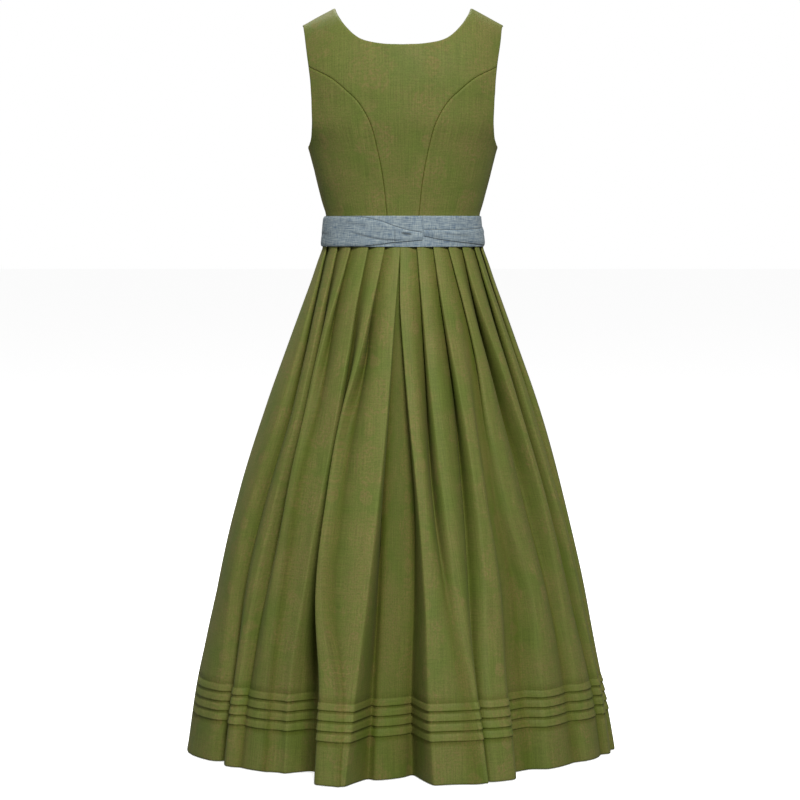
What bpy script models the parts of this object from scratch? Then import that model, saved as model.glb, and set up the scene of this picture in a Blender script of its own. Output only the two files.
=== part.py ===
"""A sleeveless long dirndl, worn and hollow, with the tied band of its apron.

The photographed back faces -Y, +X is the wearer's right, and the origin lies midway between
the tops of the shoulders. Every place on the garment is an angle round the form, 0 at the
centre back and 90 at the right side, with a height and a distance out from the form.
"""

import math

import bpy
import numpy as np
from mathutils import Matrix, Quaternion, Vector, geometry
from mathutils.bvhtree import BVHTree

NAME = "dirndl"

# The form that the cloth lies on. Flat is how far the corners between back and side are cut in.
FORM_COLUMNS = ("height", "half_width", "back_depth", "front_depth", "back_flat", "front_flat")
FORM = np.array([
    (-0.150, 0.186, 0.120, 0.112, -0.03, -0.03),
    (-0.205, 0.180, 0.118, 0.124, -0.03, -0.03),
    (-0.240, 0.1655, 0.112, 0.128, -0.03, -0.03),
    (-0.270, 0.157, 0.107, 0.126, -0.03, -0.03),
    (-0.300, 0.1495, 0.102, 0.119, -0.03, -0.03),
    (-0.330, 0.142, 0.098, 0.111, -0.02, -0.02),
    (-0.360, 0.135, 0.096, 0.106, -0.02, -0.02),
    (-0.386, 0.1373, 0.099, 0.1085, -0.02, -0.02),
    (-0.413, 0.140, 0.103, 0.112, -0.01, -0.01),
    (-0.437, 0.148, 0.113, 0.119, 0.00, 0.00),
    (-0.472, 0.159, 0.130, 0.130, 0.01, 0.00),
    (-0.507, 0.171, 0.146, 0.141, 0.02, 0.01),
    (-0.577, 0.195, 0.170, 0.158, 0.04, 0.02),
    (-0.682, 0.231, 0.200, 0.182, 0.06, 0.03),
    (-0.787, 0.263, 0.226, 0.204, 0.07, 0.04),
    (-0.857, 0.282, 0.242, 0.218, 0.08, 0.04),
    (-0.962, 0.307, 0.262, 0.236, 0.09, 0.05),
    (-1.067, 0.329, 0.281, 0.252, 0.10, 0.05),
    (-1.172, 0.350, 0.299, 0.268, 0.11, 0.06),
    (-1.298, 0.371, 0.318, 0.285, 0.12, 0.06),
])

# Above this height the form rounds over to the line of the shoulders.
SHOULDER_BLADES = -0.150
SHOULDER_LINE = ((0.0, 0.030), (0.119, 0.0), (0.1745, -0.030))
LEAN_RADIUS = 0.130
# Metres of the flat cut to a degree round the form.
ACROSS_SCALE = math.radians(1) * 0.150
# The small steps over which the form's direction is measured.
SMALL_TURN = 0.2
SMALL_RISE = 0.0005
BUST_OUT = 0.018
BUST_SIDE = 0.078
BUST_HEIGHT = -0.262
BUST_SPREAD = 0.038

WAIST = -0.386
BODICE_EDGE = -0.3855
HEM = -1.298
SEAM_GAP = 0.0003
BODICE_CLOTH = 0.0016
# How far the band presses the bodice in, and how far above its top that begins and ends.
BAND_HOLLOW = 0.0011
HOLLOW_FROM = 0.016
HOLLOW_TO = 0.003
SKIRT_CLOTH = 0.0012
BAND_CLOTH = 0.0010

# The bodice's cutting lines, each point a distance from the middle and a height.
BACK_NECK = ((0.119, 0.0), (0.111, -0.016), (0.101, -0.0316), (0.0721, -0.0577), (0.036, -0.0665),
             (0.0, -0.0685))
BACK_ARMHOLE = ((0.1745, -0.030), (0.1685, -0.065), (0.1630, -0.1035), (0.1600, -0.130),
                (0.1580, -0.165), (0.1572, -0.205), (0.1588, -0.224), (0.1625, -0.236),
                (0.1655, -0.240))
BACK_SEAM = ((0.1630, -0.1035), (0.1125, -0.133), (0.0793, -0.1635), (0.0582, -0.1975),
             (0.0440, -0.246), (0.0333, -0.3025), (0.0275, -0.360), (0.0262, BODICE_EDGE))
FRONT_NECK = ((0.119, 0.0), (0.113, -0.040), (0.104, -0.085), (0.085, -0.130), (0.050, -0.158),
              (0.010, -0.167), (0.0, -0.168))
FRONT_ARMHOLE = ((0.1745, -0.030), (0.1655, -0.065), (0.1545, -0.115), (0.1500, -0.150),
                 (0.1500, -0.195), (0.1540, -0.222), (0.1605, -0.236), (0.1655, -0.240))
FRONT_SEAM = ((0.1545, -0.115), (0.1130, -0.165), (0.0860, -0.215), (0.0780, -0.262),
              (0.0660, -0.320), (0.0560, -0.360), (0.0530, BODICE_EDGE))
CLOSING_SIDE = -0.010
UNDERARM = -0.240
PANEL_STEP = 0.022
EDGE_CLEAR = 0.45
EDGE_STEP = 0.019

BUTTON_COUNT = 6
BUTTON_TOP = -0.186
BUTTON_PITCH = 0.031
BUTTON_RADIUS = 0.006
BUTTON_THICK = 0.003
BUTTON_SIDES = 14
CAST_FROM = 0.02

# The skirt's knife pleats, whose folded edges all face the centre back. The angles are those of
# the folded edge, and crest and valley say how far it and the fold under it stand out at the hem.
PLEAT_COLUMNS = ("waist", "hip", "hem", "opens_at", "opening", "crest", "valley")
BACK_PLEATS = (
    (-75, -70, -80, -0.72, 1.00, 0.008, -0.012),
    (-54, -57, -57, -0.86, 1.00, 0.028, 0.010),
    (-40, -45, -45, -0.74, 1.00, 0.018, 0.010),
    (-25, -31, -34, -1.40, 0.85, 0.018, -0.046),
    (-13, -23, -17, -0.78, 1.00, 0.044, -0.024),
    (-2.5, -6, -6, -1.50, 0.80, -0.008, -0.060),
    (1.5, 3, 7, -1.50, 0.80, 0.034, -0.060),
    (11, 10, 22, -0.90, 1.00, 0.034, 0.018),
    (22, 25, 34, -1.05, 1.00, 0.034, 0.016),
    (34, 41, 52, -1.15, 1.00, 0.006, -0.010),
    (47, 58, 66, -0.90, 1.00, -0.002, -0.014),
    (63, 70, 76, -0.74, 1.00, 0.000, -0.014),
    (79, 83, 86, -0.80, 1.00, 0.006, -0.008),
)
FRONT_PLEATS = (
    (99, 100, 101, -0.80, 1.00, 0.010, -0.012),
    (113, 114, 113, -0.95, 1.00, 0.012, -0.014),
    (126, 126, 127, -0.84, 1.00, 0.010, -0.016),
    (139, 138, 140, -1.05, 1.00, 0.012, -0.018),
    (152, 152, 153, -0.90, 1.00, 0.011, -0.014),
    (166, 165, 167, -0.98, 1.00, 0.010, -0.016),
    (194, 195, 193, -0.94, 1.00, 0.011, -0.014),
    (208, 208, 206, -1.02, 1.00, 0.012, -0.018),
    (221, 222, 221, -0.86, 1.00, 0.010, -0.014),
    (234, 234, 232, -0.98, 1.00, 0.012, -0.016),
    (247, 243, 245, -0.82, 1.00, 0.012, -0.013),
    (260, 256, 257, -0.90, 1.00, 0.008, -0.012),
)
# Across one pleat, from the cloth that comes in under the fold to the face that goes out over it:
# how far each place lies from the folded edge, and how far out from the form. Shut turns count
# steps beside the edge, underlays and shares of the face. Open turns are shares of the gap to the
# next edge, under the fold or over it. Layers, valley and crest add up to the distance out.
PLEAT_PLACE_COLUMNS = ("beside_shut", "underlay_shut", "over_shut", "under_open", "over_open",
                       "layers_in", "valley", "crest")
PLEAT_PLACES = (
    (-1.0, 0.0, 0.00, -0.36, 0.00, 2, 0.45, 0.25),
    (0.0, 1.0, 0.00, -0.24, 0.00, 2, 0.95, 0.00),
    (0.0, 1.0, 0.00, -0.13, 0.00, 1, 1.00, 0.00),
    (0.0, 0.0, 0.00, -0.04, 0.00, 1, 0.50, 0.50),
    (0.0, 0.0, 0.00, 0.00, 0.06, 0, 0.00, 0.85),
    (0.0, 0.0, 0.46, 0.00, 0.34, 0, 0.00, 1.00),
)
HIP = -0.670
SWELL_POWER = 0.9
LAYER = 0.0028
BESIDE_FOLD = 0.0020
UNDERLAY = 0.012
UNDERLAY_SHARE = 0.40
SKIRT_IN = 0.0008
SKIRT_HEIGHTS = (-0.413, -0.437, -0.480, -0.540, -0.610, HIP, -0.740, -0.850, -0.970, -1.080,
                 -1.165)
TUCK_EDGES = (0.1255, 0.1100, 0.0945, 0.0790)
TUCK_OUT = 0.0018
TUCK_LIP = 0.0008

# The apron's band and ties lie round the waist in two layers, each a distance out from the form.
BAND_TOP = -0.360
BAND_BOTTOM = -0.413
BAND_SPLIT = -0.389
BAND_LAYER = 0.0005
TIE_LAYER = 0.00185
BAND_STEP = 6.0
BAND_LEFT_END = 14.2
BAND_RIGHT_END = -5.8
# A tie's columns are the angle, the top and the bottom.
RIGHT_TIE = (
    (14.8, -0.3840, -0.3935), (22.0, -0.3840, -0.3975), (30.0, -0.3845, -0.4010),
    (45.0, -0.3840, -0.4050), (66.0, -0.3825, -0.4085), (90.0, -0.3800, -0.4110),
    (120.0, -0.3700, -0.4122), (150.0, -0.3630, -0.4122), (176.0, -0.3660, -0.4090),
    (192.5, -0.3700, -0.4040),
)
LEFT_TIE = (
    (14.0, -0.3890, -0.4010), (4.0, -0.3850, -0.4030), (-6.0, -0.3780, -0.4050),
    (-16.0, -0.3690, -0.4085), (-27.0, -0.3630, -0.4115), (-42.0, -0.3610, -0.4122),
    (-110.0, -0.3610, -0.4122), (-138.0, -0.3640, -0.4100), (-156.5, -0.3700, -0.4040),
)
KNOT_ANGLE = 198.0
KNOT_CLEAR = 0.0004
KNOT_WIDTH = 0.022
KNOT_HEIGHT = 0.036
KNOT_THICK = 0.013
KNOT_ROUNDING = 0.00325
# Each tie end falls from one angle to another. It starts drawn together and lies over the apron.
TIE_END_ANGLES = ((192.8, 187.0), (203.2, 211.0))
TIE_END_LENGTH = 0.42
TIE_END_WIDTH = 0.046
TIE_END_DRAWN = 0.30
TIE_END_SPREADS = 0.7
TIE_END_LIFT = 0.0022
TIE_END_LIFTED_AT = 0.035
TIE_END_OVER_APRON = 0.0245
TIE_END_COLUMNS = 5
TIE_END_ROWS = 9

APRON_LEFT = 242.0
APRON_RIGHT = 118.0
APRON_HEM = -1.225
APRON_GATHERS = 16
APRON_CLEAR = 0.0005
APRON_OVER_PLEATS = 0.013
APRON_OVER_EDGE = 0.0012
# Between the gathers the cloth stands out by a depth at the waist, which grows on the way down.
# Halves of a slow wave drift the gathers sideways and make some of them shallower.
GATHER_DEPTH = 0.0014
GATHER_GROWTH = 0.0105
GATHER_DRIFT = 0.35
DRIFT_WAVES = 3
GATHER_LEAST = 0.50
UNEVEN_WAVES = 5.2
UNEVEN_START = 1.1
POINTS_PER_GATHER = 3
APRON_HEIGHTS = (-0.437, -0.500, -0.620, -0.760, -0.920, -1.080)

GREEN = (0.141, 0.153, 0.041)
BLUE_GREY = (0.162, 0.197, 0.209)
HORN = (0.085, 0.060, 0.030)
CLOTH_ROUGHNESS = 0.85
HORN_ROUGHNESS = 0.4


def read(table, columns, name, at):
    """The value of one column of a table, on a smooth curve through its rows."""
    places, values = -table[:, 0], table[:, columns.index(name)]
    slopes = np.gradient(values, places)
    at = np.clip(-np.asarray(at, float), places[0], places[-1])
    row = np.clip(np.searchsorted(places, at, side="right") - 1, 0, len(places) - 2)
    width = places[row + 1] - places[row]
    u = (at - places[row]) / width
    start = values[row] * (1 + 2 * u) * (1 - u) ** 2 + slopes[row] * width * u * (1 - u) ** 2
    end = values[row + 1] * u ** 2 * (3 - 2 * u) - slopes[row + 1] * width * u ** 2 * (1 - u)
    return start + end


def shoulder_height(x):
    """How high the line of the shoulders is at a distance from the middle."""
    return np.interp(np.abs(x), *np.array(SHOULDER_LINE).T)


def on_form(angle, height, lean=0.0):
    """A point on the form. Lean is the angle that the shoulders have rounded over by."""
    angle, height, lean = np.broadcast_arrays(np.radians(angle), height, np.radians(lean))
    back = np.cos(angle) > 0
    depth = np.where(back, read(FORM, FORM_COLUMNS, "back_depth", height),
                     read(FORM, FORM_COLUMNS, "front_depth", height))
    flat = np.where(back, read(FORM, FORM_COLUMNS, "back_flat", height),
                    read(FORM, FORM_COLUMNS, "front_flat", height))
    cut = 1 - flat * np.sin(2 * angle) ** 2
    x = read(FORM, FORM_COLUMNS, "half_width", height) * np.sin(angle) * cut
    y = -depth * np.cos(angle) * cut * np.cos(lean)
    z = np.where(lean != 0, height + (shoulder_height(x) - height) * np.sin(lean), height)
    from_bust = ((np.abs(x) - BUST_SIDE) ** 2 + (z - BUST_HEIGHT) ** 2) / (2 * BUST_SPREAD ** 2)
    y = y + np.where(back, 0, -BUST_OUT * np.cos(angle) * np.exp(-from_bust))
    return np.stack([x, y, z], axis=-1)


def cloth_point(across, up, out=0.0):
    """A point of the bodice from its place on the flat cut: degrees round and metres up."""
    def surface(p, q):
        lean = np.degrees(np.maximum(q - SHOULDER_BLADES, 0) / LEAN_RADIUS)
        return on_form(p, np.minimum(q, SHOULDER_BLADES), lean)
    round_it = surface(across + SMALL_TURN, up) - surface(across - SMALL_TURN, up)
    up_it = surface(across, up + SMALL_RISE) - surface(across, up - SMALL_RISE)
    normal = np.cross(round_it, up_it)
    normal /= np.linalg.norm(normal, axis=-1, keepdims=True)
    return surface(across, up) + np.asarray(out)[..., None] * normal


def on_cut(points, front):
    """Places on the flat cut, in degrees and metres, of points given by side and height."""
    turns = np.linspace(0, 90, 901)
    places = []
    for side, height in points:
        row = min(height, SHOULDER_BLADES)
        widths = on_form(180 - turns if front else turns, row)[:, 0]
        turn = np.interp(abs(side), widths, turns)
        rise = max(height - row, 0) / (shoulder_height(side) - SHOULDER_BLADES)
        up = row + math.asin(min(rise, 1)) * LEAN_RADIUS
        turn = math.copysign(turn, side)
        places.append((180 - turn if front else turn, up))
    return places


def mirrored(points):
    """The same line on the wearer's other side."""
    return [(-side, height) for side, height in points]


def spaced(places, step):
    """The same line with points about a step apart, on a smooth curve through its places."""
    line = np.array(places, float)
    runs = np.hypot(np.diff(line[:, 0]) * ACROSS_SCALE, np.diff(line[:, 1]))
    along = np.concatenate([[0], np.cumsum(runs)])
    count = max(2, math.ceil(along[-1] / step) + 1)
    at = np.linspace(0, along[-1], count)
    if len(line) == 2:
        return [tuple(line[0] + (line[1] - line[0]) * s / along[-1]) for s in at]
    table = np.column_stack([-along, line])
    return list(zip(read(table, ("along", "across", "up"), "across", -at),
                    read(table, ("along", "across", "up"), "up", -at)))


def inset(outline, by):
    """The outline moved in by half a seam's gap. It runs anticlockwise."""
    flat = [Vector((a * ACROSS_SCALE, b)) for a, b in outline]
    moved = []
    for i, here in enumerate(flat):
        before = (here - flat[i - 1]).normalized()
        after = (flat[(i + 1) % len(flat)] - here).normalized()
        inward = Vector((-before.y - after.y, before.x + after.x)).normalized()
        stretch = max(inward.dot(Vector((-before.y, before.x))), 0.35)
        moved.append(here + inward * by / stretch)
    return moved


def inside(point, outline):
    """Whether a point lies in the outline and clear of its edge."""
    crossings, clear = False, True
    for i, b in enumerate(outline):
        a = outline[i - 1]
        if (a.y > point.y) != (b.y > point.y):
            crossings ^= point.x < a.x + (b.x - a.x) * (point.y - a.y) / (b.y - a.y)
        along = max(0, min(1, (point - a).dot(b - a) / max((b - a).length_squared, 1e-12)))
        clear = clear and (a.lerp(b, along) - point).length > PANEL_STEP * EDGE_CLEAR
    return crossings and clear


def cut_panel(outline):
    """The flat cut filled with triangles: its places and its faces."""
    edge = inset(outline, SEAM_GAP / 2)
    low = Vector((min(p.x for p in edge), min(p.y for p in edge)))
    high = Vector((max(p.x for p in edge), max(p.y for p in edge)))
    points = list(edge)
    rows = math.ceil((high.y - low.y) / PANEL_STEP)
    columns = math.ceil((high.x - low.x) / PANEL_STEP)
    for row in range(rows):
        for column in range(columns):
            shift = 0.5 if row % 2 else 0.0
            place = low + Vector((column + shift, row + 0.5)) * PANEL_STEP
            if inside(place, edge):
                points.append(place)
    ring = [(i, (i + 1) % len(edge)) for i in range(len(edge))]
    filled = geometry.delaunay_2d_cdt(points, ring, [], 1, 1e-7)
    places = [(p.x / ACROSS_SCALE, p.y) for p in filled[0]]
    return places, [tuple(face) for face in filled[2]]


def material(name, colour, roughness):
    """A plain finish of one colour."""
    made = bpy.data.materials.new(name)
    made.use_nodes = True
    shader = made.node_tree.nodes["Principled BSDF"]
    shader.inputs["Base Color"].default_value = (*colour, 1)
    shader.inputs["Roughness"].default_value = roughness
    return made


def add_object(name, points, faces, colour):
    """A piece of cloth from its points and faces."""
    mesh = bpy.data.meshes.new(name)
    mesh.from_pydata([tuple(p) for p in points], [], faces)
    mesh.update()
    mesh.materials.append(material(name + "_cloth", colour, CLOTH_ROUGHNESS))
    made = bpy.data.objects.new(name, mesh)
    pieces.objects.link(made)
    return made


def rim_of(faces):
    """The edges that only one face uses, in that face's direction."""
    directed = {(f[i - 1], f[i]) for f in faces for i in range(len(f))}
    return [(a, b) for a, b in directed if (b, a) not in directed]


def add_cloth(name, outer, inner, faces, colour):
    """A closed wall between two layers of points that share their faces."""
    count = len(outer)
    walls = [(b, a, a + count, b + count) for a, b in rim_of(faces)]
    lining = [tuple(i + count for i in reversed(face)) for face in faces]
    return add_object(name, list(outer) + list(inner), list(faces) + lining + walls, colour)


def grid_faces(columns, rows):
    """Faces of a grid whose points run down each column in turn, facing out when the columns
    go round to the right and the rows go down."""
    return [(c * rows + r, c * rows + r + 1, (c + 1) * rows + r + 1, (c + 1) * rows + r)
            for c in range(columns - 1) for r in range(rows - 1)]


def bodice_panel(name, outline):
    """A panel of the bodice, drawn in a little where the band presses on it."""
    places, faces = cut_panel(outline)
    across, up = np.array(places).T
    drawn_in = np.array([BAND_HOLLOW * blend(BAND_TOP + HOLLOW_FROM, BAND_TOP + HOLLOW_TO, u) for u in up])
    outer = cloth_point(across, up, -drawn_in)
    inner = cloth_point(across, up, -drawn_in - BODICE_CLOTH)
    add_cloth(name, outer, inner, faces, GREEN)


def joined(*lines):
    """One closed outline from lines that run on from each other."""
    outline = []
    for line in lines:
        outline += spaced(line, EDGE_STEP)[:-1]
    return outline


def add_bodice():
    """Seven panels on princess seams, closed by buttons down the centre front."""
    neck, armhole, seam = (on_cut(line, False) for line in (BACK_NECK, BACK_ARMHOLE, BACK_SEAM))
    mirror_neck, mirror_armhole, mirror_seam = (
        on_cut(mirrored(line), False) for line in (BACK_NECK, BACK_ARMHOLE, BACK_SEAM))
    yoke_end = BACK_ARMHOLE.index(BACK_SEAM[0])
    bodice_panel("bodice_back_centre", joined(
        [mirror_seam[-1], seam[-1]], seam[::-1], armhole[:yoke_end + 1][::-1],
        [armhole[0], neck[0]], neck, mirror_neck[::-1], [mirror_neck[0], mirror_armhole[0]],
        mirror_armhole[:yoke_end + 1], mirror_seam))
    underarm, side_waist = (90, UNDERARM), (90, BODICE_EDGE)
    bodice_panel("bodice_back_side_right", joined(
        [seam[-1], side_waist], [side_waist, underarm], armhole[yoke_end:][::-1], seam))
    bodice_panel("bodice_back_side_left", joined(
        mirror_seam[::-1], mirror_armhole[yoke_end:], [(-90, UNDERARM), (-90, BODICE_EDGE)],
        [(-90, BODICE_EDGE), mirror_seam[-1]]))

    neck, armhole, seam = (on_cut(line, True) for line in (FRONT_NECK, FRONT_ARMHOLE, FRONT_SEAM))
    yoke_end = FRONT_ARMHOLE.index(FRONT_SEAM[0])
    closing = on_cut([(CLOSING_SIDE, BODICE_EDGE), (CLOSING_SIDE, FRONT_NECK[-2][1])], True)
    bodice_panel("bodice_front_centre_right", joined(
        [seam[-1], closing[0]], closing, [closing[1], neck[-1]], neck[::-1], [neck[0], armhole[0]],
        armhole[:yoke_end + 1], seam))
    bodice_panel("bodice_front_side_right", joined(
        [side_waist, seam[-1]], seam[::-1], armhole[yoke_end:], [underarm, side_waist]))
    neck, armhole, seam = ([(360 - across, up) for across, up in line]
                           for line in (neck[:-1], armhole, seam))
    bodice_panel("bodice_front_centre_left", joined(
        [closing[0], seam[-1]], seam[::-1], armhole[:yoke_end + 1][::-1], [armhole[0], neck[0]],
        neck, closing[::-1]))
    bodice_panel("bodice_front_side_left", joined(
        [seam[-1], (270, BODICE_EDGE)], [(270, BODICE_EDGE), (270, UNDERARM)], armhole[yoke_end:][::-1], seam))


def disc_rest(tree, seat, outward):
    """How far out from its seat a button must lie to clear the cloth all round its rim."""
    side = outward.orthogonal().normalized() * BUTTON_RADIUS
    outs = []
    for step in range(BUTTON_SIDES):
        rim = seat + Quaternion(outward, math.tau * step / BUTTON_SIDES) @ side
        outs.append(CAST_FROM - tree.ray_cast(rim + outward * CAST_FROM, -outward)[3])
    return max(outs)


def add_buttons():
    """A row of plain buttons on the right front, which laps over the left."""
    cloth = bpy.data.objects["bodice_front_centre_right"].data
    tree = BVHTree.FromPolygons([v.co for v in cloth.vertices], [p.vertices for p in cloth.polygons])
    for row in range(BUTTON_COUNT):
        height = BUTTON_TOP - row * BUTTON_PITCH
        seat = Vector(cloth_point(np.array(180.0), np.array(height)))
        outward = Vector(cloth_point(np.array(180.0), np.array(height), 1.0)) - seat
        outward.normalize()
        lift = disc_rest(tree, seat, outward) + SEAM_GAP + BUTTON_THICK / 2
        middle = seat + outward * lift
        bpy.ops.mesh.primitive_cylinder_add(
            vertices=BUTTON_SIDES, radius=BUTTON_RADIUS, depth=BUTTON_THICK, location=middle,
            rotation=outward.to_track_quat("Z", "Y").to_euler())
        button = bpy.context.object
        button.name = f"button_{row + 1}"
        button.data.materials.append(material(button.name + "_horn", HORN, HORN_ROUGHNESS))
        button.users_collection[0].objects.unlink(button)
        pieces.objects.link(button)


def outward_at(angle, height):
    """The level direction straight out from the form."""
    along = on_form(angle + SMALL_TURN, height) - on_form(angle - SMALL_TURN, height)
    normal = np.stack([along[..., 1], -along[..., 0], 0 * along[..., 0]], axis=-1)
    return normal / np.linalg.norm(normal, axis=-1, keepdims=True)


def off_form(angle, height, out):
    """A point out from the form by a level distance."""
    return on_form(angle, height) + outward_at(angle, height) * np.asarray(out)[..., None]


def degrees_for(length, angle, height):
    """The angle that a length round the form takes up."""
    step = on_form(angle + SMALL_TURN, height) - on_form(angle - SMALL_TURN, height)
    return 2 * SMALL_TURN * length / np.linalg.norm(step, axis=-1)


def blend(low, high, at):
    """0 at low, 1 at high and smooth between."""
    u = min(1, max(0, (at - low) / (high - low)))
    return u * u * (3 - 2 * u)


def fold_angle(pleat, height):
    """Where a pleat's folded edge is at a height."""
    waist, hip, hem = pleat[:3]
    if height > HIP:
        return waist + (hip - waist) * blend(WAIST, HIP, height)
    return hip + (hem - hip) * blend(HIP, HEM, height)


def pleat_line(height):
    """The middle of the skirt's cloth at a height, as angles and distances out, all round."""
    fall = max(0, (BAND_BOTTOM - height) / (BAND_BOTTOM - HEM))
    swell = fall ** SWELL_POWER
    pleats = [dict(zip(PLEAT_COLUMNS, row), edge=fold_angle(row, height))
              for row in BACK_PLEATS + FRONT_PLEATS]
    angles, outs = [], []
    for i, pleat in enumerate(pleats):
        away = 1 if 0 < pleat["edge"] < 180 else -1
        before = pleats[i - 1]["edge"] - (360 if i == 0 else 0)
        after = pleats[(i + 1) % len(pleats)]["edge"] + (360 if i + 1 == len(pleats) else 0)
        gaps = (pleat["edge"] - before, after - pleat["edge"])
        top_gap, under_gap = gaps[::-1] if away > 0 else gaps
        open_share = pleat["opening"] * blend(BAND_BOTTOM, pleat["opens_at"], height)
        shut = 1 - open_share
        underlay = min(float(degrees_for(UNDERLAY, pleat["edge"], height)),
                       UNDERLAY_SHARE * top_gap)
        beside = float(degrees_for(BESIDE_FOLD, pleat["edge"], height))
        for place in PLEAT_PLACES[::away]:
            at = dict(zip(PLEAT_PLACE_COLUMNS, place))
            turn = shut * (at["beside_shut"] * beside + at["underlay_shut"] * underlay
                           + at["over_shut"] * top_gap)
            turn += open_share * (at["under_open"] * under_gap + at["over_open"] * top_gap)
            out = swell * (at["valley"] * pleat["valley"] + at["crest"] * pleat["crest"])
            angles.append(pleat["edge"] + away * turn)
            outs.append(out - at["layers_in"] * LAYER * shut - SKIRT_IN)
    return np.array(angles), np.array(outs)


def thickened(line, thick):
    """Two copies of an open level line, half the thickness to each side of it."""
    along = np.diff(line[:, :2], axis=0)
    along /= np.linalg.norm(along, axis=1, keepdims=True)
    before = np.vstack([along[:1], along])
    after = np.vstack([along, along[-1:]])
    mean = before + after
    mean /= np.maximum(np.linalg.norm(mean, axis=1, keepdims=True), 1e-9)
    side = np.column_stack([mean[:, 1], -mean[:, 0]])
    stretch = np.maximum((mean * before).sum(axis=1), 0.6)[:, None]
    step = side * thick / 2 / stretch
    outer, inner = line.copy(), line.copy()
    outer[:, :2] += step
    inner[:, :2] -= step
    return outer, inner


def skirt_rows(height, first_pleat, last_pleat, from_angle, to_angle):
    """One half of the skirt at a height: its outer and its inner line."""
    angles, outs = pleat_line(height)
    # the side seams lie where the faces of the outermost pleats of the back pass the sides
    start, stop = first_pleat * len(PLEAT_PLACES), last_pleat * len(PLEAT_PLACES)
    if first_pleat == 0:
        angles, outs = angles[start:stop], outs[start:stop]
    else:
        angles = np.concatenate([angles[start - 1:stop], angles[:1] + 360])
        outs = np.concatenate([outs[start - 1:stop], outs[:1]])
    angles[0], angles[-1] = from_angle, to_angle
    outer, inner = thickened(off_form(angles, height, outs), SKIRT_CLOTH)
    for line in (outer, inner):
        for end in (0, -1):
            line[end, 1] = math.copysign(SEAM_GAP / 2, -math.cos(math.radians(angles[1])))
    return outer, inner


def add_skirt(name, first_pleat, last_pleat, from_angle, to_angle):
    """A pleated wall from the waist to the hem, with the tucks raised in its outer side."""
    top = WAIST - SEAM_GAP / 2
    plain = [top, *SKIRT_HEIGHTS, HEM + TUCK_EDGES[0], HEM + TUCK_EDGES[-1], HEM]
    tucked = [(height, 0.0) for height in (top, *SKIRT_HEIGHTS)]
    for edge in TUCK_EDGES:
        tucked += [(HEM + edge, TUCK_OUT), (HEM + edge - TUCK_LIP, 0.0)]
    tucked.append((HEM, 0.0))
    place = (first_pleat, last_pleat, from_angle, to_angle)
    outside, inside_rows = [], []
    for height, raised in tucked:
        outer, inner = skirt_rows(height, *place)
        step = outer - inner
        step /= np.linalg.norm(step, axis=1, keepdims=True)
        step[[0, -1], 1] = 0
        outside.append(outer + step * raised)
    for height in plain:
        inside_rows.append(skirt_rows(height, *place)[1])
    width = len(outside[0])
    points = np.concatenate(outside + inside_rows)
    faces = []
    for r in range(len(outside) - 1):
        for c in range(width - 1):
            a = r * width + c
            faces.append((a, a + width, a + width + 1, a + 1))
    base = len(outside) * width
    for r in range(len(inside_rows) - 1):
        for c in range(width - 1):
            a = base + r * width + c
            faces.append((a + 1, a + width + 1, a + width, a))
    last_outer, last_inner = base - width, len(points) - width
    for c in range(width - 1):
        faces.append((c, c + 1, base + c + 1, base + c))
        faces.append((last_outer + c + 1, last_outer + c, last_inner + c, last_inner + c + 1))
    for c, turn in ((0, 1), (width - 1, -1)):
        out_run = [r * width + c for r in range(len(outside))]
        in_run = [base + r * width + c for r in range(len(inside_rows))]
        faces.append((in_run + out_run[::-1])[::turn])
    add_object(name, points, faces, GREEN)


def on_band(angle, height, out):
    """A point off the straight slope that the waistband and the ties share."""
    share = (BAND_TOP - np.asarray(height)) / (BAND_TOP - BAND_BOTTOM)
    top, bottom = (off_form(angle, edge, out) for edge in (BAND_TOP, BAND_BOTTOM))
    return top + (bottom - top) * share[..., None]


def tie_edges(table, angle):
    """The top and the bottom of a tie at an angle."""
    rows = np.array(table)
    order = np.argsort(rows[:, 0])
    return (np.interp(angle, rows[order, 0], rows[order, 1]),
            np.interp(angle, rows[order, 0], rows[order, 2]))


def add_strip(name, columns, out, colour):
    """Cloth laid round the form. A column has an angle, a top and a bottom."""
    angles, tops, bottoms = np.array(columns).T
    edges = (np.repeat(angles, 2), np.column_stack([tops, bottoms]).ravel())
    layers = [on_band(*edges, distance) for distance in (out + BAND_CLOTH, out)]
    add_cloth(name, *layers, grid_faces(len(columns), 2), colour)


def angles_between(start, stop):
    """The ends and the steps of the shared grid of angles that lie between them."""
    steps = np.arange(math.ceil(start / BAND_STEP), math.floor(stop / BAND_STEP) + 1) * BAND_STEP
    inner = [a for a in steps if start + 1 < a < stop - 1]
    return [start, *inner, stop]


def add_band():
    """The apron's waistband, whose two ends pass each other at the centre back."""
    half_gap = float(degrees_for(SEAM_GAP, BAND_LEFT_END, WAIST)) / 2
    low = [(a, BAND_SPLIT - SEAM_GAP / 2, BAND_BOTTOM)
           for a in angles_between(BAND_RIGHT_END + half_gap, BAND_LEFT_END + half_gap)]
    whole = [(a, BAND_TOP, BAND_BOTTOM)
             for a in angles_between(BAND_LEFT_END + 2 * half_gap, BAND_RIGHT_END + 360 - half_gap)]
    high = [(a, BAND_TOP, BAND_SPLIT + SEAM_GAP / 2)
            for a in angles_between(BAND_RIGHT_END + 360, BAND_LEFT_END + 360 - half_gap)]
    add_strip("apron_waistband", low + whole + high, BAND_LAYER, BLUE_GREY)


def add_ties():
    """The ties cross at the centre back and run round over the band to the knot in front."""
    right = [(a, *tie_edges(RIGHT_TIE, a)) for a in angles_between(RIGHT_TIE[0][0], RIGHT_TIE[-1][0])]
    left = [(a, *tie_edges(LEFT_TIE, a)) for a in angles_between(LEFT_TIE[-1][0], LEFT_TIE[0][0])]
    add_strip("tie_right", right, TIE_LAYER, BLUE_GREY)
    add_strip("tie_left", left, TIE_LAYER, BLUE_GREY)


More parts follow.
